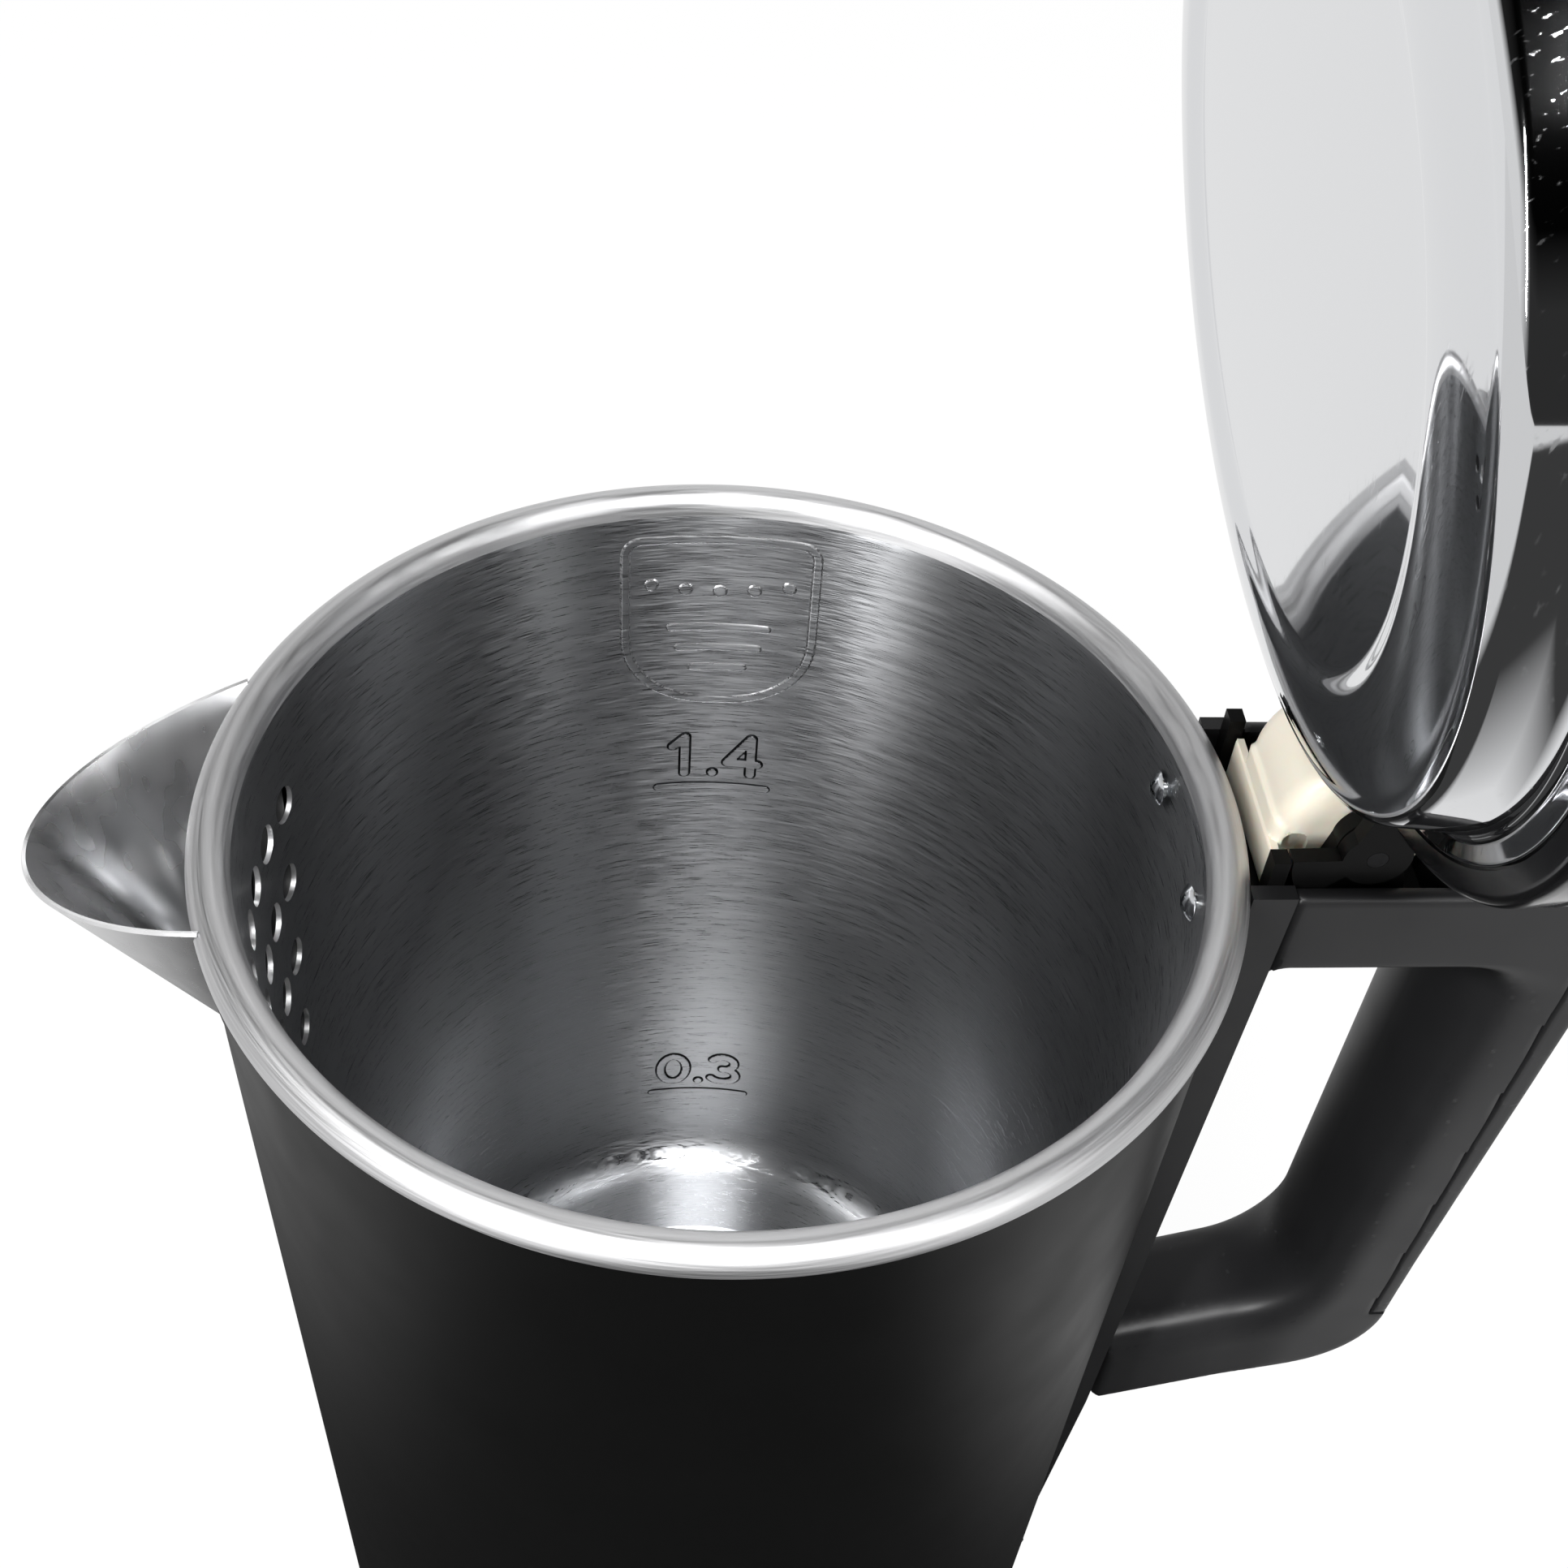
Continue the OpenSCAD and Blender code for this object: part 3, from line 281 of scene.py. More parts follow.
# Moulded rubber and silicone
rubber = moulded("rubber_black", "#101010", 0.7, 0.5, 0.02)
silicone_red = moulded("silicone_red", "#9a3b2e", 0.5, 0.8, 0.01)
silicone_clear = moulded("silicone_cloudy", "#e2ddd2", 0.4, 0.8, 0.01, Subsurface_Weight=0.3, Subsurface_Scale=0.002)
wire_sleeve = moulded("silicone_wire_sleeve", "#b4402c", 0.45, 0.6, 0.01)
glass_nylon = moulded("nylon_glass_filled", "#d8d2c4", 0.5, 0.5, 0.015)
phenolic = moulded("phenolic_black", "#161718", 0.42, 0.5, 0.012)


def raw_metal(name, base, roughness, grain_mm):
    """Metal as drawn, rolled or turned: fine grain in its gloss."""
    made, tree, shader = material(name, base, roughness, 1.0)
    place = add(tree, "ShaderNodeTexCoord").outputs["Object"]
    grain = add(tree, "ShaderNodeTexNoise", {"Vector": place, "Scale": 1000 / grain_mm, "Detail": 3.0}).outputs["Fac"]
    tree.links.new(ramp(tree, grain, 0.3, 0.7, roughness - 0.08, roughness + 0.08), shader.inputs["Roughness"])
    bump = add(tree, "ShaderNodeBump", {"Height": grain, "Strength": 1.0, "Distance": 0.01 * MM})
    tree.links.new(bump.outputs[0], shader.inputs["Normal"])
    return made


spring_wire = raw_metal("spring_steel_drawn", "#9b9da0", 0.3, 0.4)
cast_aluminium = raw_metal("aluminium_turned", "#b9bcc0", 0.38, 0.6)
brass_strip = raw_metal("brass_rolled", "#c8a24a", 0.28, 0.5)
# Hinge pin: turned steel, blackened in oil
black_steel = raw_metal("steel_black_oxide", "#232324", 0.35, 0.5)

FINISH = {
    "steel_satin": steel_wall, "steel_brushed": steel_sheet, "steel_mirror": steel_mirror,
    "black_jacket": jacket, "black_satin": abs_matt, "black_gloss": abs_gloss, "ivory_plastic": acetal,
    "rubber_black": rubber, "rubber_red": silicone_red, "silicone_tube": silicone_clear,
    "chrome_screw": nickel, "spring_steel": spring_wire, "aluminium_cast": cast_aluminium,
    "brass_strip": brass_strip, "wire_sleeve": wire_sleeve}
# Nodes whose material is not the usual one of their slot
SPECIAL = {
    "thermal_control": glass_nylon, "switch_bracket": glass_nylon, "micro_switch": phenolic,
    "connector_socket": phenolic, "hinge_pin": black_steel, "hinge_block": jacket, "hinge_arm": jacket}

slots = {part["node"]: part["material_slot"] for part in frame["record"]["subparts"]}
for name, node in nodes.items():
    node.data.materials.clear()
    node.data.materials.append(SPECIAL.get(name, FINISH[slots[name]]))


# ----------------------------------------------------------------- shapes

def piece(name, mesh, body, finishes, stands_for, sharp=38):
    """A finished piece: smooth with crisp edges, riding on its body in place of its nodes."""
    for finish in finishes:
        mesh.materials.append(finish)
    for face in mesh.polygons:
        face.use_smooth = True
    mesh.set_sharp_from_angle(angle=math.radians(sharp))
    obj = bpy.data.objects.new(name, mesh)
    bpy.context.scene.collection.objects.link(obj)
    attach(obj, body)
    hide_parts(*stands_for)
    return obj


def arc(x, z, r, start, end, count):
    """Points of an arc, angles in degrees."""
    steps = [math.radians(start + (end - start) * i / count) for i in range(count + 1)]
    return [(x + r * math.cos(a), z + r * math.sin(a)) for a in steps]


def lathe(outline, segments=256, bands=(), closed=False):
    """Turned mesh from an outline of (radius, height) in mm, heights from the rim; bands give finishes."""
    bm = bmesh.new()
    rings = []
    for r, z in outline:
        if r < 1e-6:
            rings.append([bm.verts.new((0, 0, RIM + z * MM))])
            continue
        turns = (2 * math.pi * i / segments for i in range(segments))
        rings.append([bm.verts.new((r * MM * math.cos(a), r * MM * math.sin(a), RIM + z * MM)) for a in turns])
    pairs = list(zip(rings, rings[1:])) + ([(rings[-1], rings[0])] if closed else [])
    for row, (a, b) in enumerate(pairs):
        for i in range(segments if len(a) + len(b) > 2 else 0):
            j = (i + 1) % segments
            corners = [a[i % len(a)], a[j % len(a)], b[j % len(b)], b[i % len(b)]]
            face = bm.faces.new(list(dict.fromkeys(corners)))
            face.material_index = next((m for lo, hi, m in bands if lo <= row < hi), 0)
    bmesh.ops.recalc_face_normals(bm, faces=bm.faces)
    mesh = bpy.data.meshes.new("lathe")
    bm.to_mesh(mesh)
    bm.free()
    return mesh


def opened(mesh):
    """Turns a mesh drawn on the closed lid to its open place."""
    move = Matrix.Translation(HINGE) @ Matrix.Rotation(OPEN, 4, "Y") @ Matrix.Translation(-HINGE)
    mesh.transform(move)
    return mesh


def box_mesh(low, high):
    """Plain box between two corners in mm, heights from the rim, for cutting."""
    bm = bmesh.new()
    bmesh.ops.create_cube(bm, size=1)
    size = [(b - a) * MM for a, b in zip(low, high)]
    mid = [(a + b) / 2 * MM for a, b in zip(low, high)]
    bm.transform(Matrix.Translation((mid[0], mid[1], RIM + mid[2])) @ Matrix.Diagonal((*size, 1)))
    mesh = bpy.data.meshes.new("cutter")
    bm.to_mesh(mesh)
    bm.free()
    return mesh


def cut(mesh, cutter):
    """Mesh less the cutter, with every material kept."""
    made = []
    for part in (mesh, cutter):
        obj = bpy.data.objects.new("work", part)
        bpy.context.scene.collection.objects.link(obj)
        made.append(obj)
    tool = made[0].modifiers.new("cut", "BOOLEAN")
    tool.operation = "DIFFERENCE"
    tool.solver = "EXACT"
    tool.object = made[1]
    graph = bpy.context.evaluated_depsgraph_get()
    result = bpy.data.meshes.new_from_object(made[0].evaluated_get(graph))
    for obj in made:
        bpy.data.objects.remove(obj)
    return result


PROBE = 0.05         # mm either way, for the slope of a field
REACH = 0.55         # of a step, as far as a vertex leaves the middle of its cell


def skin(field, low, high, step):
    """Closed mesh where the field (in mm, negative inside) is zero, one vertex for each cell it crosses."""
    axes = [np.arange(a, b + step, step) for a, b in zip(low, high)]
    grid = np.meshgrid(*axes, indexing="ij")
    value = field(*grid)
    inside = value < 0
    corner = [
        inside[i:i - 1 or None, j:j - 1 or None, k:k - 1 or None]
        for i in (0, 1) for j in (0, 1) for k in (0, 1)]
    count = sum(c.astype(np.int8) for c in corner)
    mixed = (count > 0) & (count < 8)
    index = np.full(mixed.shape, -1)
    index[mixed] = np.arange(mixed.sum())
    cell = np.argwhere(mixed)
    middle = np.array(low) + (cell + 0.5) * step
    point = middle.copy()
    h = PROBE
    for _ in range(6):
        x, y, z = point.T
        here = field(x, y, z)
        slope = np.stack([
            field(x + h, y, z) - field(x - h, y, z),
            field(x, y + h, z) - field(x, y - h, z),
            field(x, y, z + h) - field(x, y, z - h)], 1) / (2 * h)
        size = np.maximum((slope ** 2).sum(1), 1e-4)
        point = point - (here / size)[:, None] * slope
        point = np.clip(point, middle - REACH * step, middle + REACH * step)
    faces = []
    for axis in range(3):
        a, b = [d for d in range(3) if d != axis]
        first = [slice(None)] * 3
        second = [slice(None)] * 3
        first[axis], second[axis] = slice(0, -1), slice(1, None)
        change = inside[tuple(first)] != inside[tuple(second)]
        starts = inside[tuple(first)]
        edge = np.argwhere(change)
        for d in (a, b):
            edge = edge[(edge[:, d] > 0) & (edge[:, d] < len(axes[d]) - 1)]
        quad = []
        for da, db in ((1, 1), (0, 1), (0, 0), (1, 0)):
            at = edge.copy()
            at[:, a] -= da
            at[:, b] -= db
            quad.append(index[tuple(at.T)])
        quad = np.stack(quad, 1)
        flip = starts[tuple(edge.T)] if axis != 1 else ~starts[tuple(edge.T)]
        quad[~flip] = quad[~flip][:, ::-1]
        faces.append(quad)
    faces = np.concatenate(faces)
    mesh = bpy.data.meshes.new("skin")
    mesh.from_pydata([(x * MM, y * MM, RIM + z * MM) for x, y, z in point], [], faces.tolist())
    bm = bmesh.new()
    bm.from_mesh(mesh)
    bmesh.ops.recalc_face_normals(bm, faces=bm.faces)
    bm.to_mesh(mesh)
    bm.free()
    return mesh


def joined(a, b, k):
    """Smooth union of two fields."""
    h = np.maximum(k - np.abs(a - b), 0) / k
    return np.minimum(a, b) - h * h * k / 4


def common(a, b, k):
    """Smooth intersection of two fields."""
    return -joined(-a, -b, k)


# -------------------------------------------------------------------- pot

POT_R, POT_TAPER, POT_T, POT_DEPTH, BEND = 69.2, 0.0522, 0.8, 178.5, 8.7
ROLL_X, ROLL_R = 72.2, 2.8
STRAINER_R, STRAINER_TOP, STRAINER_PITCH, STRAINER_TURN = 3.0, 19, 13, 7      # mm, and degrees along a row
SCREW_R, SCREW_Y, SCREW_DEPTH = 1.7, 11.6, 9.9
PUNCH = 12                       # length of the punches
MARKS = math.radians(88.2)       # bearing of the marks on the wall
FLAT_ROWS = 2                    # rows of the outline in the turned middle of the floor
# Material slots of the pot after the wall's: the sides of the frame take the floor's steel, those of the level marks
# the dark steel of painted shade
ROLLED, FLOOR_STEEL, PAINTED_SHADE = 1, 2, 3


def pot_in(depth):
    """Inner radius of the wall at a depth under the rim."""
    return POT_R - POT_TAPER * depth


def pot_outline():
    """Outline of the drawn pot with its rolled rim, and the rows where the wall and the roll end."""
    floor_r = pot_in(POT_DEPTH - BEND) - BEND
    inside = [(0, -POT_DEPTH), (20, -POT_DEPTH), (40, -POT_DEPTH)]
    inside += arc(floor_r, BEND - POT_DEPTH, BEND, -90, 0, 12)
    inside += [(pot_in(d), -d) for d in range(160, 10, -10)] + [(pot_in(5.2), -5.2), (69.1, -3.6)]
    wall_rows = len(inside) - 1
    inside += arc(ROLL_X, -ROLL_R, ROLL_R, 172, -21, 30)
    roll_rows = len(inside) - 1
    outside = [(70.0, -3.8), (pot_in(9) + POT_T, -9), (pot_in(90) + POT_T, -90)]
    outside += arc(floor_r, BEND - POT_DEPTH, BEND + POT_T, 0, -90, 8) + [(0, -POT_DEPTH - POT_T)]
    return inside + outside, wall_rows, roll_rows


def punches(radius, points, finish):
    """Geometry Nodes: a round punch at every point, its Z turned away from the axis."""
    tree = bpy.data.node_groups.new("punch_pattern", "GeometryNodeTree")
    tree.interface.new_socket("Points", in_out="INPUT", socket_type="NodeSocketGeometry")
    sizes = {}
    for name, value in (("Radius", radius * MM), ("Length", PUNCH * MM)):
        socket = tree.interface.new_socket(name, in_out="INPUT", socket_type="NodeSocketFloat")
        sizes[socket.identifier] = value
    tree.interface.new_socket("Geometry", in_out="OUTPUT", socket_type="NodeSocketGeometry")
    start = add(tree, "NodeGroupInput")
    shape = add(tree, "GeometryNodeMeshCylinder", {
        "Vertices": 40, "Radius": start.outputs["Radius"], "Depth": start.outputs["Length"]}).outputs["Mesh"]
    place = add(tree, "GeometryNodeInputPosition")
    away = add(tree, "ShaderNodeVectorMath", {0: place.outputs[0], 1: (1, 1, 0)}, operation="MULTIPLY")
    turn = add(tree, "FunctionNodeAlignRotationToVector", {"Vector": away.outputs[0]}, axis="Z")
    copies = add(tree, "GeometryNodeInstanceOnPoints", {
        "Points": start.outputs["Points"], "Instance": shape, "Rotation": turn.outputs[0]})
    real = add(tree, "GeometryNodeRealizeInstances", {0: copies.outputs[0]})
    dressed = add(tree, "GeometryNodeSetMaterial", {"Geometry": real.outputs[0], "Material": finish})
    add(tree, "NodeGroupOutput", {0: dressed.outputs[0]})
    mesh = bpy.data.meshes.new("points")
    mesh.from_pydata([(x * MM, y * MM, RIM + z * MM) for x, y, z in points], [], [])
    obj = bpy.data.objects.new("pattern", mesh)
    bpy.context.scene.collection.objects.link(obj)
    live = obj.modifiers.new("pattern", "NODES")
    live.node_group = tree
    for key, value in sizes.items():
        live[key] = value
    graph = bpy.context.evaluated_depsgraph_get()
    result = bpy.data.meshes.new_from_object(obj.evaluated_get(graph))
    bpy.data.objects.remove(obj)
    return result


def strainer_points():
    """Centres of the strainer holes by the spout: rows of five, four, three and two from the top."""
    points = []
    for row in range(4):
        depth = STRAINER_TOP + row * STRAINER_PITCH
        for i in range(5 - row):
            a = math.pi + math.radians((i - (4 - row) / 2) * STRAINER_TURN)
            r = pot_in(depth)
            points.append((r * math.cos(a), r * math.sin(a), -depth))
    return points


def screw_points():
    """Centres of the two screw holes by the hinge."""
    r = pot_in(SCREW_DEPTH)
    x = math.sqrt(r * r - SCREW_Y ** 2)
    return [(x, s * SCREW_Y, -SCREW_DEPTH) for s in (-1, 1)]


SUNK = 0.06          # mm, how deep the edge of a mark lies in the wall
BACK = 0.4           # mm, how far behind the wall's face a mark is closed
STEEP = 0.05         # mm of lift across one cell, from where it counts as a side


def embossing(strokes, width, height, rise, step, sides=PAINTED_SHADE):
    """Patch of wall raised by its distance to the strokes, in mm along the wall and up from the rim."""
    xs = [p[0] for s in strokes for p in s]
    zs = [p[1] for s in strokes for p in s]
    edge = width / 2 + rise + 2 * step
    u = np.arange(min(xs) - edge, max(xs) + edge, step)
    v = np.arange(min(zs) - edge, max(zs) + edge, step)
    grid_u, grid_v = np.meshgrid(u, v, indexing="ij")
    far = np.full(grid_u.shape, 1e9)
    for stroke in strokes:
        for (x0, z0), (x1, z1) in zip(stroke, stroke[1:]):
            dx, dz = x1 - x0, z1 - z0
            t = np.clip(((grid_u - x0) * dx + (grid_v - z0) * dz) / max(dx * dx + dz * dz, 1e-9), 0, 1)
            far = np.minimum(far, np.hypot(grid_u - x0 - t * dx, grid_v - z0 - t * dz))
    t = np.clip((width / 2 + rise - far) / rise, 0, 1)
    lift = height * t * t * (3 - 2 * t) - SUNK
    keep = lift > -0.0599
    bm = bmesh.new()
    top, under = {}, {}
    radius = pot_in(-grid_v)
    angle = MARKS - grid_u / radius

    def vertex(store, i, j, r):
        if (i, j) not in store:
            a = angle[i, j]
            store[i, j] = bm.verts.new((r * MM * math.cos(a), r * MM * math.sin(a), RIM + grid_v[i, j] * MM))
        return store[i, j]

    cells = [
        (i, j) for i in range(len(u) - 1) for j in range(len(v) - 1)
        if keep[i, j] or keep[i + 1, j] or keep[i, j + 1] or keep[i + 1, j + 1]]
    used = set(cells)
    for i, j in cells:
        ring = [(i, j), (i + 1, j), (i + 1, j + 1), (i, j + 1)]
        upper = [vertex(top, a, b, radius[a, b] - lift[a, b]) for a, b in ring]
        lower = [vertex(under, a, b, radius[a, b] + BACK) for a, b in ring]
        face = bm.faces.new(upper)
        if max(lift[a, b] for a, b in ring) - min(lift[a, b] for a, b in ring) > STEEP:
            face.material_index = sides
        bm.faces.new(lower[::-1])
        for side, (di, dj) in enumerate(((0, -1), (1, 0), (0, 1), (-1, 0))):
            if (i + di, j + dj) not in used:
                a, b = side, (side + 1) % 4
                bm.faces.new((upper[a], lower[a], lower[b], upper[b]))
    bmesh.ops.recalc_face_normals(bm, faces=bm.faces)
    mesh = bpy.data.meshes.new("embossing")
    bm.to_mesh(mesh)
    bm.free()
    return mesh


def ellipse(x, z, a, b, start, end, count=14):
    """Points of an arc of an ellipse, angles in degrees."""
    steps = [math.radians(start + (end - start) * i / count) for i in range(count + 1)]
    return [(x + a * math.cos(t), z + b * math.sin(t)) for t in steps]


def figure(sign, x, z, w, h):
    """Strokes of one plain figure or point, its lower left corner at (x, z)."""
    if sign == "1":
        return [[(x + w * 0.15, z + h * 0.76), (x + w * 0.55, z + h), (x + w * 0.55, z)]]
    if sign == "4":
        return [[(x + w * 0.78, z), (x + w * 0.78, z + h), (x, z + h * 0.3), (x + w, z + h * 0.3)]]
    if sign == "0":
        return [ellipse(x + w / 2, z + h / 2, w / 2, h / 2, 0, 360, 28)]
    if sign == "3":
        upper = ellipse(x + w * 0.45, z + h * 0.75, w * 0.45, h * 0.25, 150, -90)
        lower = ellipse(x + w * 0.45, z + h * 0.26, w * 0.52, h * 0.26, 90, -150)
        return [upper + lower]
    return [[(x + w / 2, z), (x + w / 2, z + 0.05)]]


def figures(text, z, w, h, space):
    """Strokes of a line of figures, its foot at z; a point takes less room."""
    strokes = []
    widths = [w * 0.3 if c == "." else w for c in text]
    x = -(sum(widths) + space * (len(text) - 1)) / 2
    for c, own in zip(text, widths):
        strokes += figure(c, x, z, own, h)
        x += own + space
    return strokes


def rounded_frame(half, top, bottom, r_top, r_bottom):
    """Stroke of a closed frame with rounded corners."""
    line = ellipse(half - r_top, top - r_top, r_top, r_top, 90, 0, 6)
    line += ellipse(half - r_bottom, bottom + r_bottom, r_bottom, r_bottom, 0, -90, 14)
    line += ellipse(-half + r_bottom, bottom + r_bottom, r_bottom, r_bottom, -90, -180, 14)
    line += ellipse(-half + r_top, top - r_top, r_top, r_top, 180, 90, 6)
    return [line + line[:1]]


def bars(*sizes):
    """Level strokes through the middle from their half lengths and heights."""
    return [[(-half, z), (half, z)] for half, z in sizes]


def make_pot():
    """Drawn pot with its strainer, screw holes and pressed marks."""
    outline, wall_rows, roll_rows = pot_outline()
    # the flat middle of the floor takes the floor steel, whose brighter colour is painted light
    body = lathe(outline, 288, [(0, FLAT_ROWS, FLOOR_STEEL), (wall_rows, roll_rows, ROLLED)])
    for finish in (steel_wall, steel_rim, floor_steel_painted_light):
        body.materials.append(finish)
    body = cut(body, punches(STRAINER_R, strainer_points(), steel_rim))
    body = cut(body, punches(SCREW_R, screw_points(), steel_wall))
    # level marks, then the frame with its bow of five dots and its three bars
    text = {"width": 1.5, "height": 0.3, "rise": 0.6, "step": 0.2}
    line = {"height": 0.22, "rise": 0.45, "step": 0.2}
    dots = [[(x, z - 0.012 * (144 - x * x)) for z in (-17.5, -17.4)] for x in (-12, -6, 0, 6, 12)]
    marks = [
        embossing(figures("1.4", -61.6, 5.6, 8.8, 1.9), **text),
        embossing(bars((10.2, -65.0)), 1.3, **line),
        embossing(figures("0.3", -153.2, 5.6, 8.2, 1.9), **text),
        embossing(bars((10.2, -156.6)), 1.2, **line),
        embossing(rounded_frame(16.6, -8.2, -43.6, 2.5, 15.0), 1.2, 0.22, 0.45, 0.22, FLOOR_STEEL),
        embossing(dots, 1.9, 0.25, 0.5, 0.2, FLOOR_STEEL),
        embossing(bars((8.5, -27.0), (7.0, -31.5), (4.5, -36.0)), 1.1, **line, sides=FLOOR_STEEL)]
    bm = bmesh.new()
    bm.from_mesh(body)
    # the last slot is the dark steel that paints the shade on the level marks' slopes
    keep = [body.materials[i] for i in range(PAINTED_SHADE)] + [steel_painted_shade]
    for mark in marks:
        bm.from_mesh(mark)
    mesh = bpy.data.meshes.new("pot_drawn")
    bm.to_mesh(mesh)
    bm.free()
    return piece("pot_drawn", mesh, "jug", keep, ["inner_pot"], 32)


make_pot()


# ------------------------------------------------------------------ spout

LIP, THROAT, THROAT_Z = 100.5, 71, -1        # reach of the lip, and where the mouth's plane starts, in mm
MOUTH_LONG, MOUTH_HALF, LIP_R = 33.0, 24.8, 10.3
MOUTH_FALL = math.atan(0.3)                  # the mouth's plane falls towards the lip
ROOT_X, ROOT_R, ROOT_Z = -67, 7, -48         # fold at the foot of the spout
JACKET_R, JACKET_TAPER = 73.8, 0.007
SHEET = 0.8
FLANGE_TOP, FLANGE_IN, FLANGE_OUT = -6.5, 0.6, 2.6
FLANGE_UNDER, FLANGE_OVER = 0.08, 0.55       # its faces above the jacket


def mouth_point(t):
    """Point of the mouth in mm and its outward bearing; t runs from -1 on the near side over the lip to 1."""
    def side(d):
        half_ellipse = MOUTH_HALF * math.sqrt(max(1 - (1 - d / MOUTH_LONG) ** 2, 0))
        return (math.sqrt(2 * LIP_R * d) + half_ellipse) / 2

    d = MOUTH_LONG * t * t
    grow = (side(d + 0.01) - side(max(d - 0.01, 0))) / (0.02 if d > 0.01 else 0.01 + d)
    out = LIP - d - THROAT
    x, z = -THROAT - out * math.cos(MOUTH_FALL), THROAT_Z - out * math.sin(MOUTH_FALL)
    bearing = math.atan2(math.copysign(1, t), -grow) if abs(t) > 1e-6 else math.pi
    return Vector((x, math.copysign(side(d), t), z)), bearing


def body_radius(z, clear):
    """Radius of the jacket, or of the rim roll near the top, at a height from the rim."""
    roll = ROLL_R + clear
    if z > -ROLL_R - roll * 0.94:
        return ROLL_X + math.sqrt(max(roll * roll - (z + ROLL_R) ** 2, 0))
    return JACKET_R + JACKET_TAPER * z + clear


def make_spout():
    """Folded sheet from the lip down to the root on the jacket, with its fastening flange."""
    across, down, clear = 72, 30, 0.12
    outer, last = [], 1.0

    def outside(p):
        return p.xy.length > body_radius(p.z, clear)

    while mouth_point(last)[0].xy.length < body_radius(mouth_point(last)[0].z, clear) + 0.2:
        last -= 0.002
    for i in range(2 * across + 1):
        t = last * (i - across) / across
        top, bearing = mouth_point(t)
        root = Vector((ROOT_X + ROOT_R * math.cos(bearing), ROOT_R * math.sin(bearing), ROOT_Z))
        reach = 0.0
        while reach < 1 and outside(top + (root - top) * reach):
            reach += 0.001
        outer.append([top + (root - top) * reach * j / down for j in range(down + 1)])
    normals = []
    for i in range(len(outer)):
        row = []
        for j in range(down + 1):
            a = outer[min(i + 1, len(outer) - 1)][j] - outer[max(i - 1, 0)][j]
            b = outer[i][min(j + 1, down)] - outer[i][max(j - 1, 0)]
            n = a.cross(b)
            row.append(n.normalized() if n.length > 1e-6 else (row[-1] if row else Vector((-1, 0, 0))))
        normals.append(row)
    middle = normals[across][down // 2]
    turn = 1 if middle.x < 0 else -1
    bm = bmesh.new()

    def vert(p):
        return bm.verts.new((p.x * MM, p.y * MM, RIM + p.z * MM))

    skin_out = [[vert(p) for p in row] for row in outer]
    skin_in = [[vert(p - n * turn * SHEET) for p, n in zip(row, side)] for row, side in zip(outer, normals)]
    edge = [
        vert(row[0] - side[0] * turn * (SHEET / 2) + (row[0] - row[1]).normalized() * 0.3)
        for row, side in zip(outer, normals)]
    for i in range(len(outer) - 1):
        for j in range(down):
            bm.faces.new((skin_out[i][j], skin_out[i + 1][j], skin_out[i + 1][j + 1], skin_out[i][j + 1]))
            bm.faces.new((skin_in[i][j], skin_in[i][j + 1], skin_in[i + 1][j + 1], skin_in[i + 1][j]))
        bm.faces.new((edge[i], edge[i + 1], skin_out[i + 1][0], skin_out[i][0]))
        bm.faces.new((skin_in[i][0], skin_in[i + 1][0], edge[i + 1], edge[i]))
        bm.faces.new((skin_out[i][down], skin_out[i + 1][down], skin_in[i + 1][down], skin_in[i][down]))
    for i in (0, len(outer) - 1):
        for j in range(down):
            bm.faces.new((skin_out[i][j], skin_out[i][j + 1], skin_in[i][j + 1], skin_in[i][j]))
        bm.faces.new((skin_out[i][0], skin_in[i][0], edge[i]))
    # flange that lies on the jacket round the fold
    rows = []
    for i in range(2, len(outer) - 2):
        foot = outer[i][down]
        along = outer[i + 1][down] - outer[i - 1][down]
        if foot.z > FLANGE_TOP:
            continue
        out = Vector((foot.x, foot.y, 0)).normalized()
        away = along.cross(out).normalized()
        if away.dot(foot - Vector((-74, 0, -12))) < 0:
            away = -away
        near, far = foot - away * FLANGE_IN, foot + away * FLANGE_OUT
        ring = []
        for p, lift in ((near, FLANGE_UNDER), (near, FLANGE_OVER), (far, FLANGE_OVER), (far, FLANGE_UNDER)):
            flat = Vector((p.x, p.y, 0)).normalized() * (JACKET_R + JACKET_TAPER * p.z + lift)
            ring.append(vert(Vector((flat.x, flat.y, p.z))))
        rows.append(ring)
    for a, b in zip(rows, rows[1:]):
        for k in range(4):
            bm.faces.new((a[k], a[(k + 1) % 4], b[(k + 1) % 4], b[k]))
    bm.faces.new(rows[0])
    bm.faces.new(rows[-1])
    bmesh.ops.recalc_face_normals(bm, faces=bm.faces)
    mesh = bpy.data.meshes.new("spout")
    bm.to_mesh(mesh)
    bm.free()
    piece("spout_folded", mesh, "jug", [steel_sheet], ["spout"], 45)


make_spout()


# ------------------------------------------------------------------- lid

NOTCH_HALF, NOTCH_X = 16.3, (60, 90)         # gap in the lid's edge for the hinge


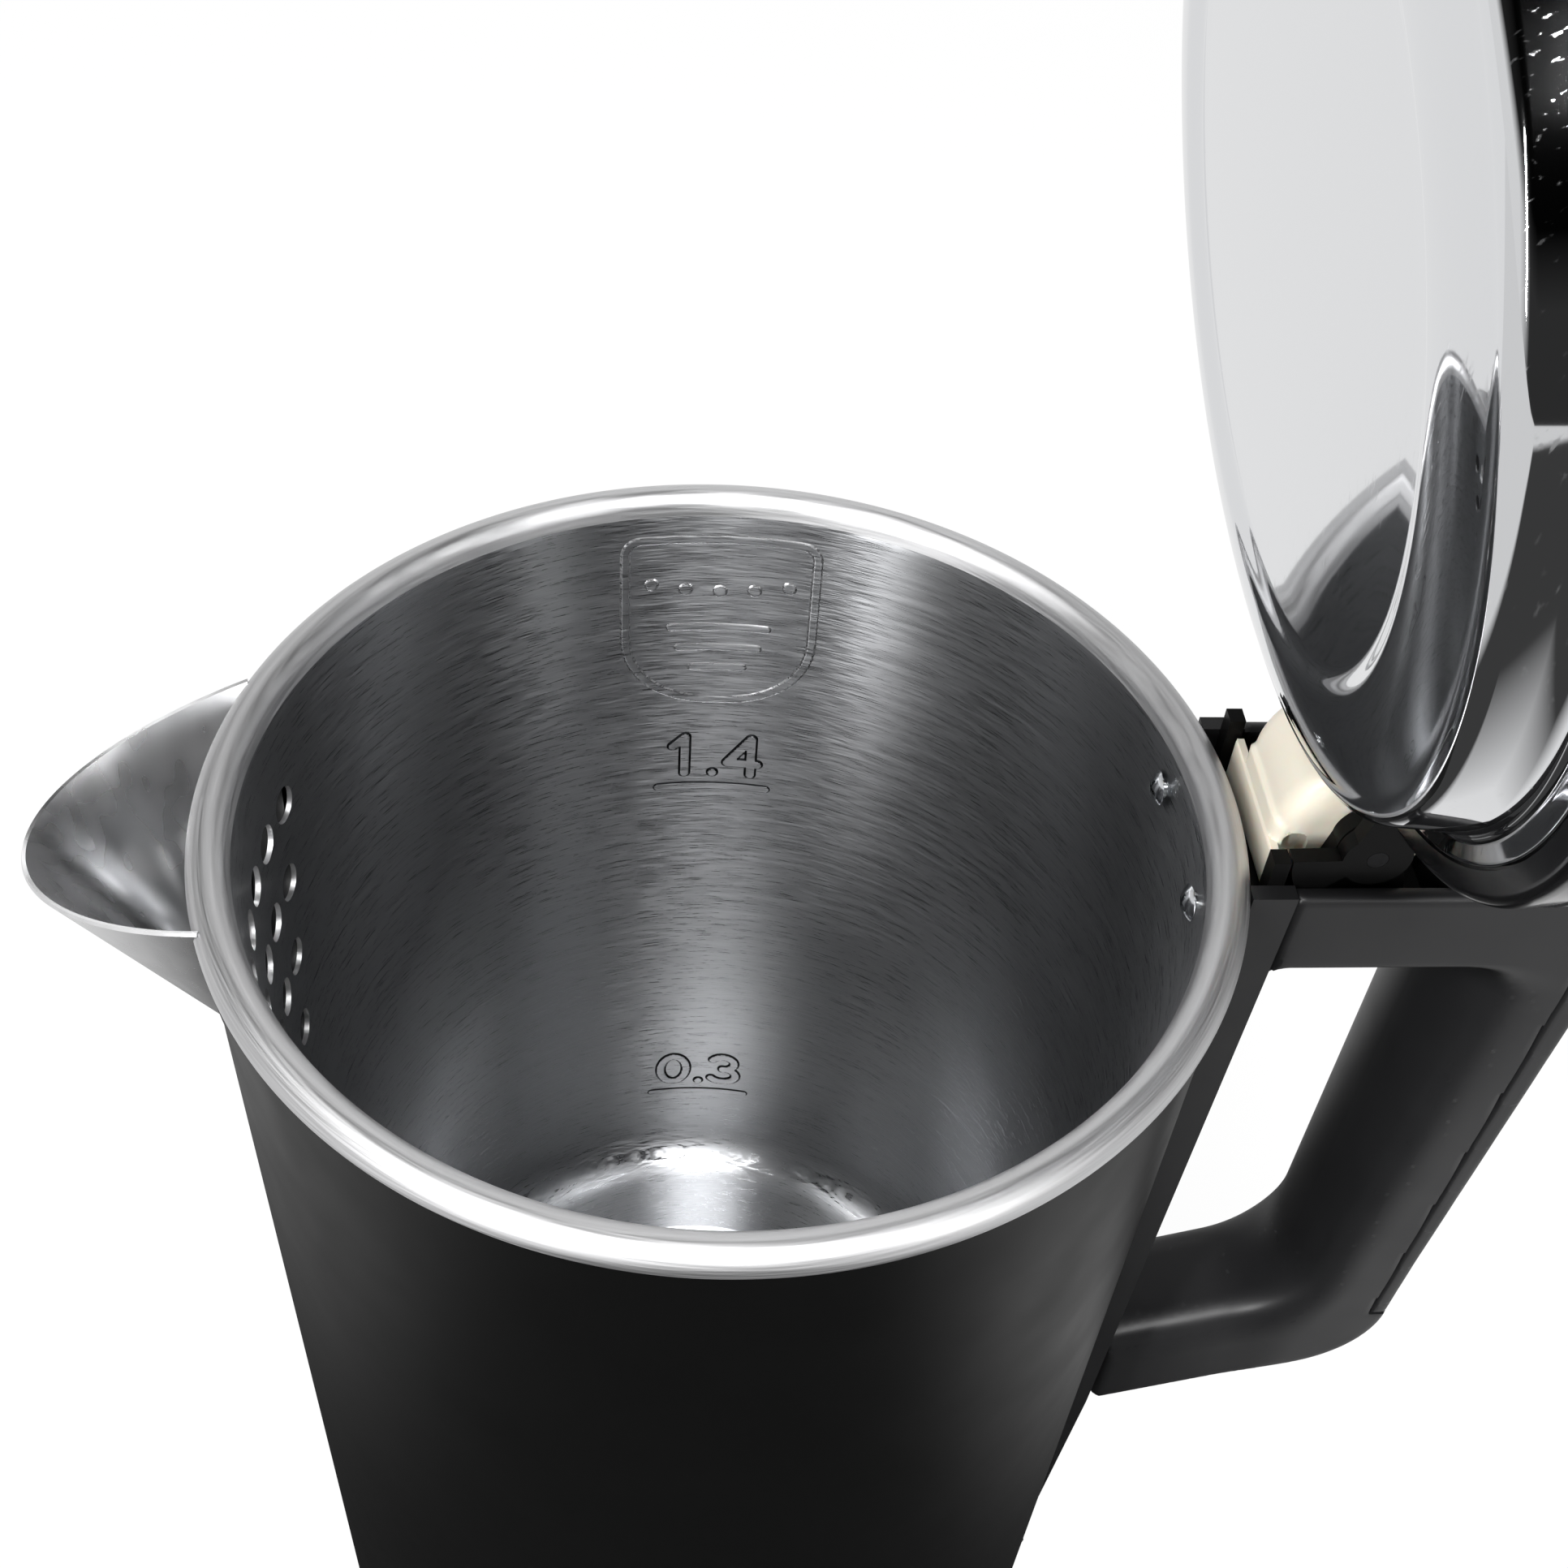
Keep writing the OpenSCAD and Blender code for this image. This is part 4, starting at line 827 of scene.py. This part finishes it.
def make_lid():
    """Plate, ring and cover of the lid, drawn closed and turned open."""
    low, dish, crest = -10.5, -11.3, -12.6
    swell_r, crest_r, per_mm, fall = 47.6, 52.6, 3.2, 11.0
    swell = [
        (swell_r + i / per_mm, (dish + crest) / 2 + (dish - crest) / 2 * math.cos(math.pi * i / 16))
        for i in range(17)]
    under = [(0, dish), (16, dish), (34, dish), (44, dish)] + swell
    under += [
        (r, low + (crest - low) * (1 - ((r - crest_r) / fall) ** 2))
        for r in (54, 55.5, 57, 58.5, 60, 61.5, 62.8)]
    under += arc(63.6, -7.5, 3, -90, -12, 12) + [(67.3, -4.5), (67.9, -2.2)]
    under += arc(69.6, -0.7, 1.2, 185, 90, 8) + [(71.4, 0.5)] + arc(71.7, 0.85, 0.35, -90, 90, 8)
    upper = [
        (69.3, 1.2), (67.6, 0.2), (66.4, -6.0), (63.0, low + 0.7), (53.5, crest + 0.9),
        (47.0, dish + 0.8), (0, dish + 0.8)]
    plate = lathe(under + upper, 288)
    piece("lid_plate_spun", opened(plate), "lid", [steel_mirror], ["lid_plate"], 50)

    ring = [(72.4, 0.65)] + arc(75.0, 2.35, 1.8, -90, 0, 10)
    ring += [(76.8, 6.0), (76.6, 6.2), (64.2, 6.2), (64.2, 3.8), (66, 1.3), (72.4, 1.3)]
    notch = box_mesh((NOTCH_X[0], -NOTCH_HALF, -1), (NOTCH_X[1], NOTCH_HALF, 20))
    turned = cut(lathe(ring, 256, closed=True), notch)
    piece("lid_ring_moulded", opened(turned), "lid", [abs_gloss], ["lid_ring"])

    side, foot, edge, top, wall = 77.1, 6.28, 14.94, 17, 0.8
    outer = [(side, foot)] + arc(side - 4, 11, 4, 0, 80, 12)
    crown = [(r, edge + (top - edge) * (1 - (r / 73.8) ** 2)) for r in (70, 60, 48, 34, 18, 0)]
    inner = [(r, z - wall) for r, z in crown[::-1]] + arc(side - 4, 11, 4 - wall, 80, 0, 12) + [(side - wall, foot)]
    notch = box_mesh((NOTCH_X[0], -NOTCH_HALF, -1), (NOTCH_X[1], NOTCH_HALF, 9.3))
    shell = cut(lathe(outer + crown + inner, 256, closed=True), notch)
    piece("lid_cover_spun", opened(shell), "lid", [steel_lid], ["lid_cover"])


make_lid()


# ----------------------------------------------------------------- handle

# Handle, in mm from the axis and above the rim
TOP, ARM_LOW, ARM_X = -1.5, -18.6, 79.5      # top arm, from its upper face down and from the jacket out
HALF, NARROWING = 18.5, 0.0433               # half width at the rim, and what each mm of height changes
GRIP_X, GRIP_R, GRIP_LOW = 130.3, 20, -146   # half-round grip
LOW_R, LOW_FLAT, LOW_X = 12.8, 9.7, 79.2     # low arm: its rounded top and the flat on it
LOW_AT, LOW_SLOPE = (79, -150), math.radians(20)      # its line, rising outwards
GUSSET = 3.1                                 # radius of the fillet under the top arm
SCREWS, SCREW_BORE, BORE_END = (-40, -105), 3.1, 128.5      # recesses for the cover's screws


def handle_field(x, y, z):
    """Whole loop of the handle: top arm, half-round grip, low arm, one soft form with a flat outer side."""
    arm = np.maximum(np.maximum(ARM_X - x, ARM_LOW - z), z - TOP)
    grip = np.maximum(np.hypot(x - GRIP_X, y) - GRIP_R, GRIP_LOW - z)
    across = -math.sin(LOW_SLOPE) * (x - LOW_AT[0]) + math.cos(LOW_SLOPE) * (z - LOW_AT[1])
    low = common(np.hypot(y, np.maximum(across, 0)) - LOW_R, across - LOW_FLAT, 2.0)
    low = np.maximum(low, LOW_X - x)
    form = joined(arm, grip, 9.0)
    form = joined(form, low, 12.0)
    edge_x, edge_z = ARM_X + GUSSET, ARM_LOW - GUSSET
    gusset = np.maximum(np.maximum(ARM_X - x, x - edge_x), edge_z - z)
    gusset = np.maximum(gusset, GUSSET - np.hypot(x - edge_x, z - edge_z))
    form = np.minimum(form, np.maximum(gusset, z + 17))
    soft = np.interp(z, (-30.0, -12.0), (3.5, 1.2))
    form = common(form, np.abs(y) - (HALF + NARROWING * z), soft)
    back = x - 130.2 - 0.0145 * np.maximum(z + 110, 0)
    under = (0.39 * (x - 78.7) - (z + 163.7)) / 1.073
    outer = common(common(back, under, 15.0), z - TOP, 9.0)
    return common(form, outer, 1.4)


def make_handle():
    """Loop of the handle with the channel in its top arm, and the cover let into its outer side."""
    def cover_zone(x, z, gap):
        return np.maximum(126.6 + gap - x, np.maximum(-128 + gap - z, z + 9 + gap))

    def shell(x, y, z):
        form = handle_field(x, y, z)
        channel = np.maximum(np.maximum(78.0 - x, x - 123.6), np.maximum(np.abs(y) - 15.8, -15 - z))
        return np.maximum(np.maximum(form, -channel), -cover_zone(x, z, -0.15))

    def cover(x, y, z):
        form = common(handle_field(x, y, z) + 0.1, cover_zone(x, z, 0.15), 0.9)
        for height in SCREWS:
            form = np.maximum(form, -np.maximum(np.hypot(y, z - height) - SCREW_BORE, BORE_END - x))
        return form

    mesh = skin(shell, (77.6, -20.0, -166.0), (133.0, 20.0, 0.4), 0.75)
    piece("handle_loop", mesh, "jug", [abs_matt], ["handle_shell"], 50)
    mesh = skin(cover, (124.9, -19.6, -130.6), (133.0, 19.6, -7.0), 0.6)
    piece("handle_grip_cover", mesh, "jug", [abs_matt], ["handle_cover"], 50)


make_handle()


# ------------------------------------------------------------------ hinge

def make_drum():
    """Spring housing: crown round the hinge, upright front wall, soft ends and a notch in the near end."""
    def drum(x, y, z):
        crown = np.hypot(x - 90.2, z - 3.4) - 12.4
        wall = np.maximum(np.maximum(77.25 - x, x - 88), np.maximum(z - 3.4, -4.3 - z))
        form = joined(crown, wall, 1.2)
        form = np.maximum(form, np.maximum(-7.6 - z, x - 101.3))
        form = common(form, np.maximum(y - 9.2, -9.2 - y), 3.2)
        apron = np.maximum(-7.4 - z, z + 0.2)
        apron = np.maximum(np.maximum(77.05 - x, x - 78.4), np.maximum(np.abs(y) - 12.4, apron))
        form = np.minimum(form, apron)
        notch = np.maximum(np.hypot(x - 80.6, np.maximum(z - 0.4, 0)) - 1.7, y + 6.4)
        return np.maximum(form, -np.maximum(notch, -4.0 - z))

    mesh = skin(drum, (76.0, -13.2, -8.4), (102.4, 13.2, 17.0), 0.35)
    piece("spring_drum_moulded", mesh, "jug", [acetal], ["spring_drum"], 40)


make_drum()


# ---------------------------------------------------------- button springs


def make_button_springs():
    """Both springs under the button, from their solids."""
    bm = bmesh.new()
    bm.from_mesh(nodes["button_spring"].data)
    bmesh.ops.remove_doubles(bm, verts=bm.verts, dist=1e-7)
    mesh = bpy.data.meshes.new("button_springs_coiled")
    bm.to_mesh(mesh)
    bm.free()
    obj = piece("button_springs_coiled", mesh, "jug", [spring_wire], ["button_spring"], 40)
    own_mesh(obj)


make_button_springs()


# -------------------------------------------------------- floor and light

FLOOR_HALF, FLOOR_DROP = 6.0, -0.002
AIM_Z = 0.2              # height of the point on the axis that the lamps face
CAMERA_WHITE = 0.96      # share of plain white that the camera sees on the floor, over its shading


def stage():
    """Pale floor that keeps the shadow, a white room round it and soft lamps.

    Glossy rays see the floor glow, bright away from the kettle and dim near it as a painted shadow of the body, by
    the place on the floor in metres; the room is bright and dark by the way out.
    """
    made, tree, shader = material("floor_paper", "#f4f4f4", 0.9)
    grain = add(tree, "ShaderNodeTexNoise", {"Scale": 30.0})
    tree.links.new(ramp(tree, grain.outputs["Fac"], 0.0, 1.0, 0.85, 0.95), shader.inputs["Roughness"])
    path = add(tree, "ShaderNodeLightPath")
    glow = add(tree, "ShaderNodeEmission", {"Color": (1, 1, 1, 1), "Strength": 1.0})
    seen = add(tree, "ShaderNodeMath", {0: path.outputs["Is Camera Ray"], 1: CAMERA_WHITE}, operation="MULTIPLY")
    mix = add(tree, "ShaderNodeMixShader", {0: seen.outputs[0], 1: shader.outputs[0], 2: glow.outputs[0]})
    spot = add(tree, "ShaderNodeSeparateXYZ", {0: add(tree, "ShaderNodeTexCoord").outputs["Object"]})
    # floor glow for glossy rays: dim near the kettle as a painted shadow of its body, bright behind it and to the
    # sides
    behind = ramp(tree, spot.outputs[1], 0.12, 0.20, 0.05, 0.88)
    left = ramp(tree, spot.outputs[0], -0.20, -0.14, 0.75, 0.05)
    right = ramp(tree, spot.outputs[0], 0.12, 0.17, 0.05, 0.85)
    sides = add(tree, "ShaderNodeMath", {0: right, 1: left}, operation="MAXIMUM")
    bright = add(tree, "ShaderNodeMath", {0: behind, 1: sides.outputs[0]}, operation="MAXIMUM")
    painted_shadow_glow = add(tree, "ShaderNodeEmission", {"Color": (1, 1, 1, 1), "Strength": bright.outputs[0]})
    last = add(tree, "ShaderNodeMixShader", {
        0: path.outputs["Is Glossy Ray"], 1: mix.outputs[0], 2: painted_shadow_glow.outputs[0]})
    tree.links.new(last.outputs[0], tree.nodes["Material Output"].inputs["Surface"])
    mesh = bpy.data.meshes.new("floor")
    corners = [(x * FLOOR_HALF, y * FLOOR_HALF, FLOOR_DROP) for x, y in ((-1, -1), (1, -1), (1, 1), (-1, 1))]
    mesh.from_pydata(corners, [], [(0, 1, 2, 3)])
    mesh.materials.append(made)
    floor = bpy.data.objects.new("floor", mesh)
    bpy.context.scene.collection.objects.link(floor)

    world = bpy.data.worlds.new("room")
    bpy.context.scene.world = world
    world.use_nodes = True
    tree = world.node_tree
    back = tree.nodes["Background"]
    way = add(tree, "ShaderNodeSeparateXYZ", {0: add(tree, "ShaderNodeTexCoord").outputs["Generated"]})
    low = ramp(tree, way.outputs[2], 0.25, 0.45, 1.0, 0.02)
    back_side = ramp(tree, way.outputs[1], 0.45, 0.8, 0.0, 1.1)
    right_side = ramp(tree, way.outputs[0], 0.5, 0.85, 0.03, 0.5)
    left_side = ramp(tree, way.outputs[0], -0.85, -0.5, 0.8, 0.0)
    ends = add(tree, "ShaderNodeMath", {0: left_side, 1: right_side}, operation="MAXIMUM")
    side = add(tree, "ShaderNodeMath", {0: back_side, 1: ends.outputs[0]}, operation="MAXIMUM")
    room = add(tree, "ShaderNodeMath", {0: side.outputs[0], 1: low}, operation="MULTIPLY")
    path = add(tree, "ShaderNodeLightPath")
    level = add(tree, "ShaderNodeMath", {0: path.outputs["Is Camera Ray"], 1: room.outputs[0]}, operation="MAXIMUM")
    tree.links.new(level.outputs[0], back.inputs["Strength"])
    back.inputs["Color"].default_value = (1, 1, 1, 1)

    def lamp(name, azimuth, elevation, distance, size, power):
        """Soft lamp that faces the axis: degrees, metres and watts."""
        data = bpy.data.lights.new(name, "AREA")
        data.shape = "RECTANGLE"
        data.size, data.size_y = size
        data.energy = power
        a, e = math.radians(azimuth), math.radians(elevation)
        way = Vector((math.cos(a) * math.cos(e), math.sin(a) * math.cos(e), math.sin(e)))
        obj = bpy.data.objects.new(name, data)
        obj.location = Vector((0, 0, AIM_Z)) + way * distance
        obj.rotation_euler = way.to_track_quat("Z", "Y").to_euler()
        bpy.context.scene.collection.objects.link(obj)

    lamp("lamp_front_high", -92, 56, 1.6, (0.40, 0.40), 42)
    lamp("lamp_left_high", -168, 60, 1.6, (0.35, 0.35), 8)
    lamp("strip_right_front", -50, 24, 1.6, (0.08, 0.8), 8)
    lamp("strip_left_front", -128, 24, 1.6, (0.06, 0.8), 28)
    lamp("lamp_back", 90, 40, 1.8, (1.2, 0.5), 4)


stage()
bpy.context.scene.view_settings.view_transform = "Standard"
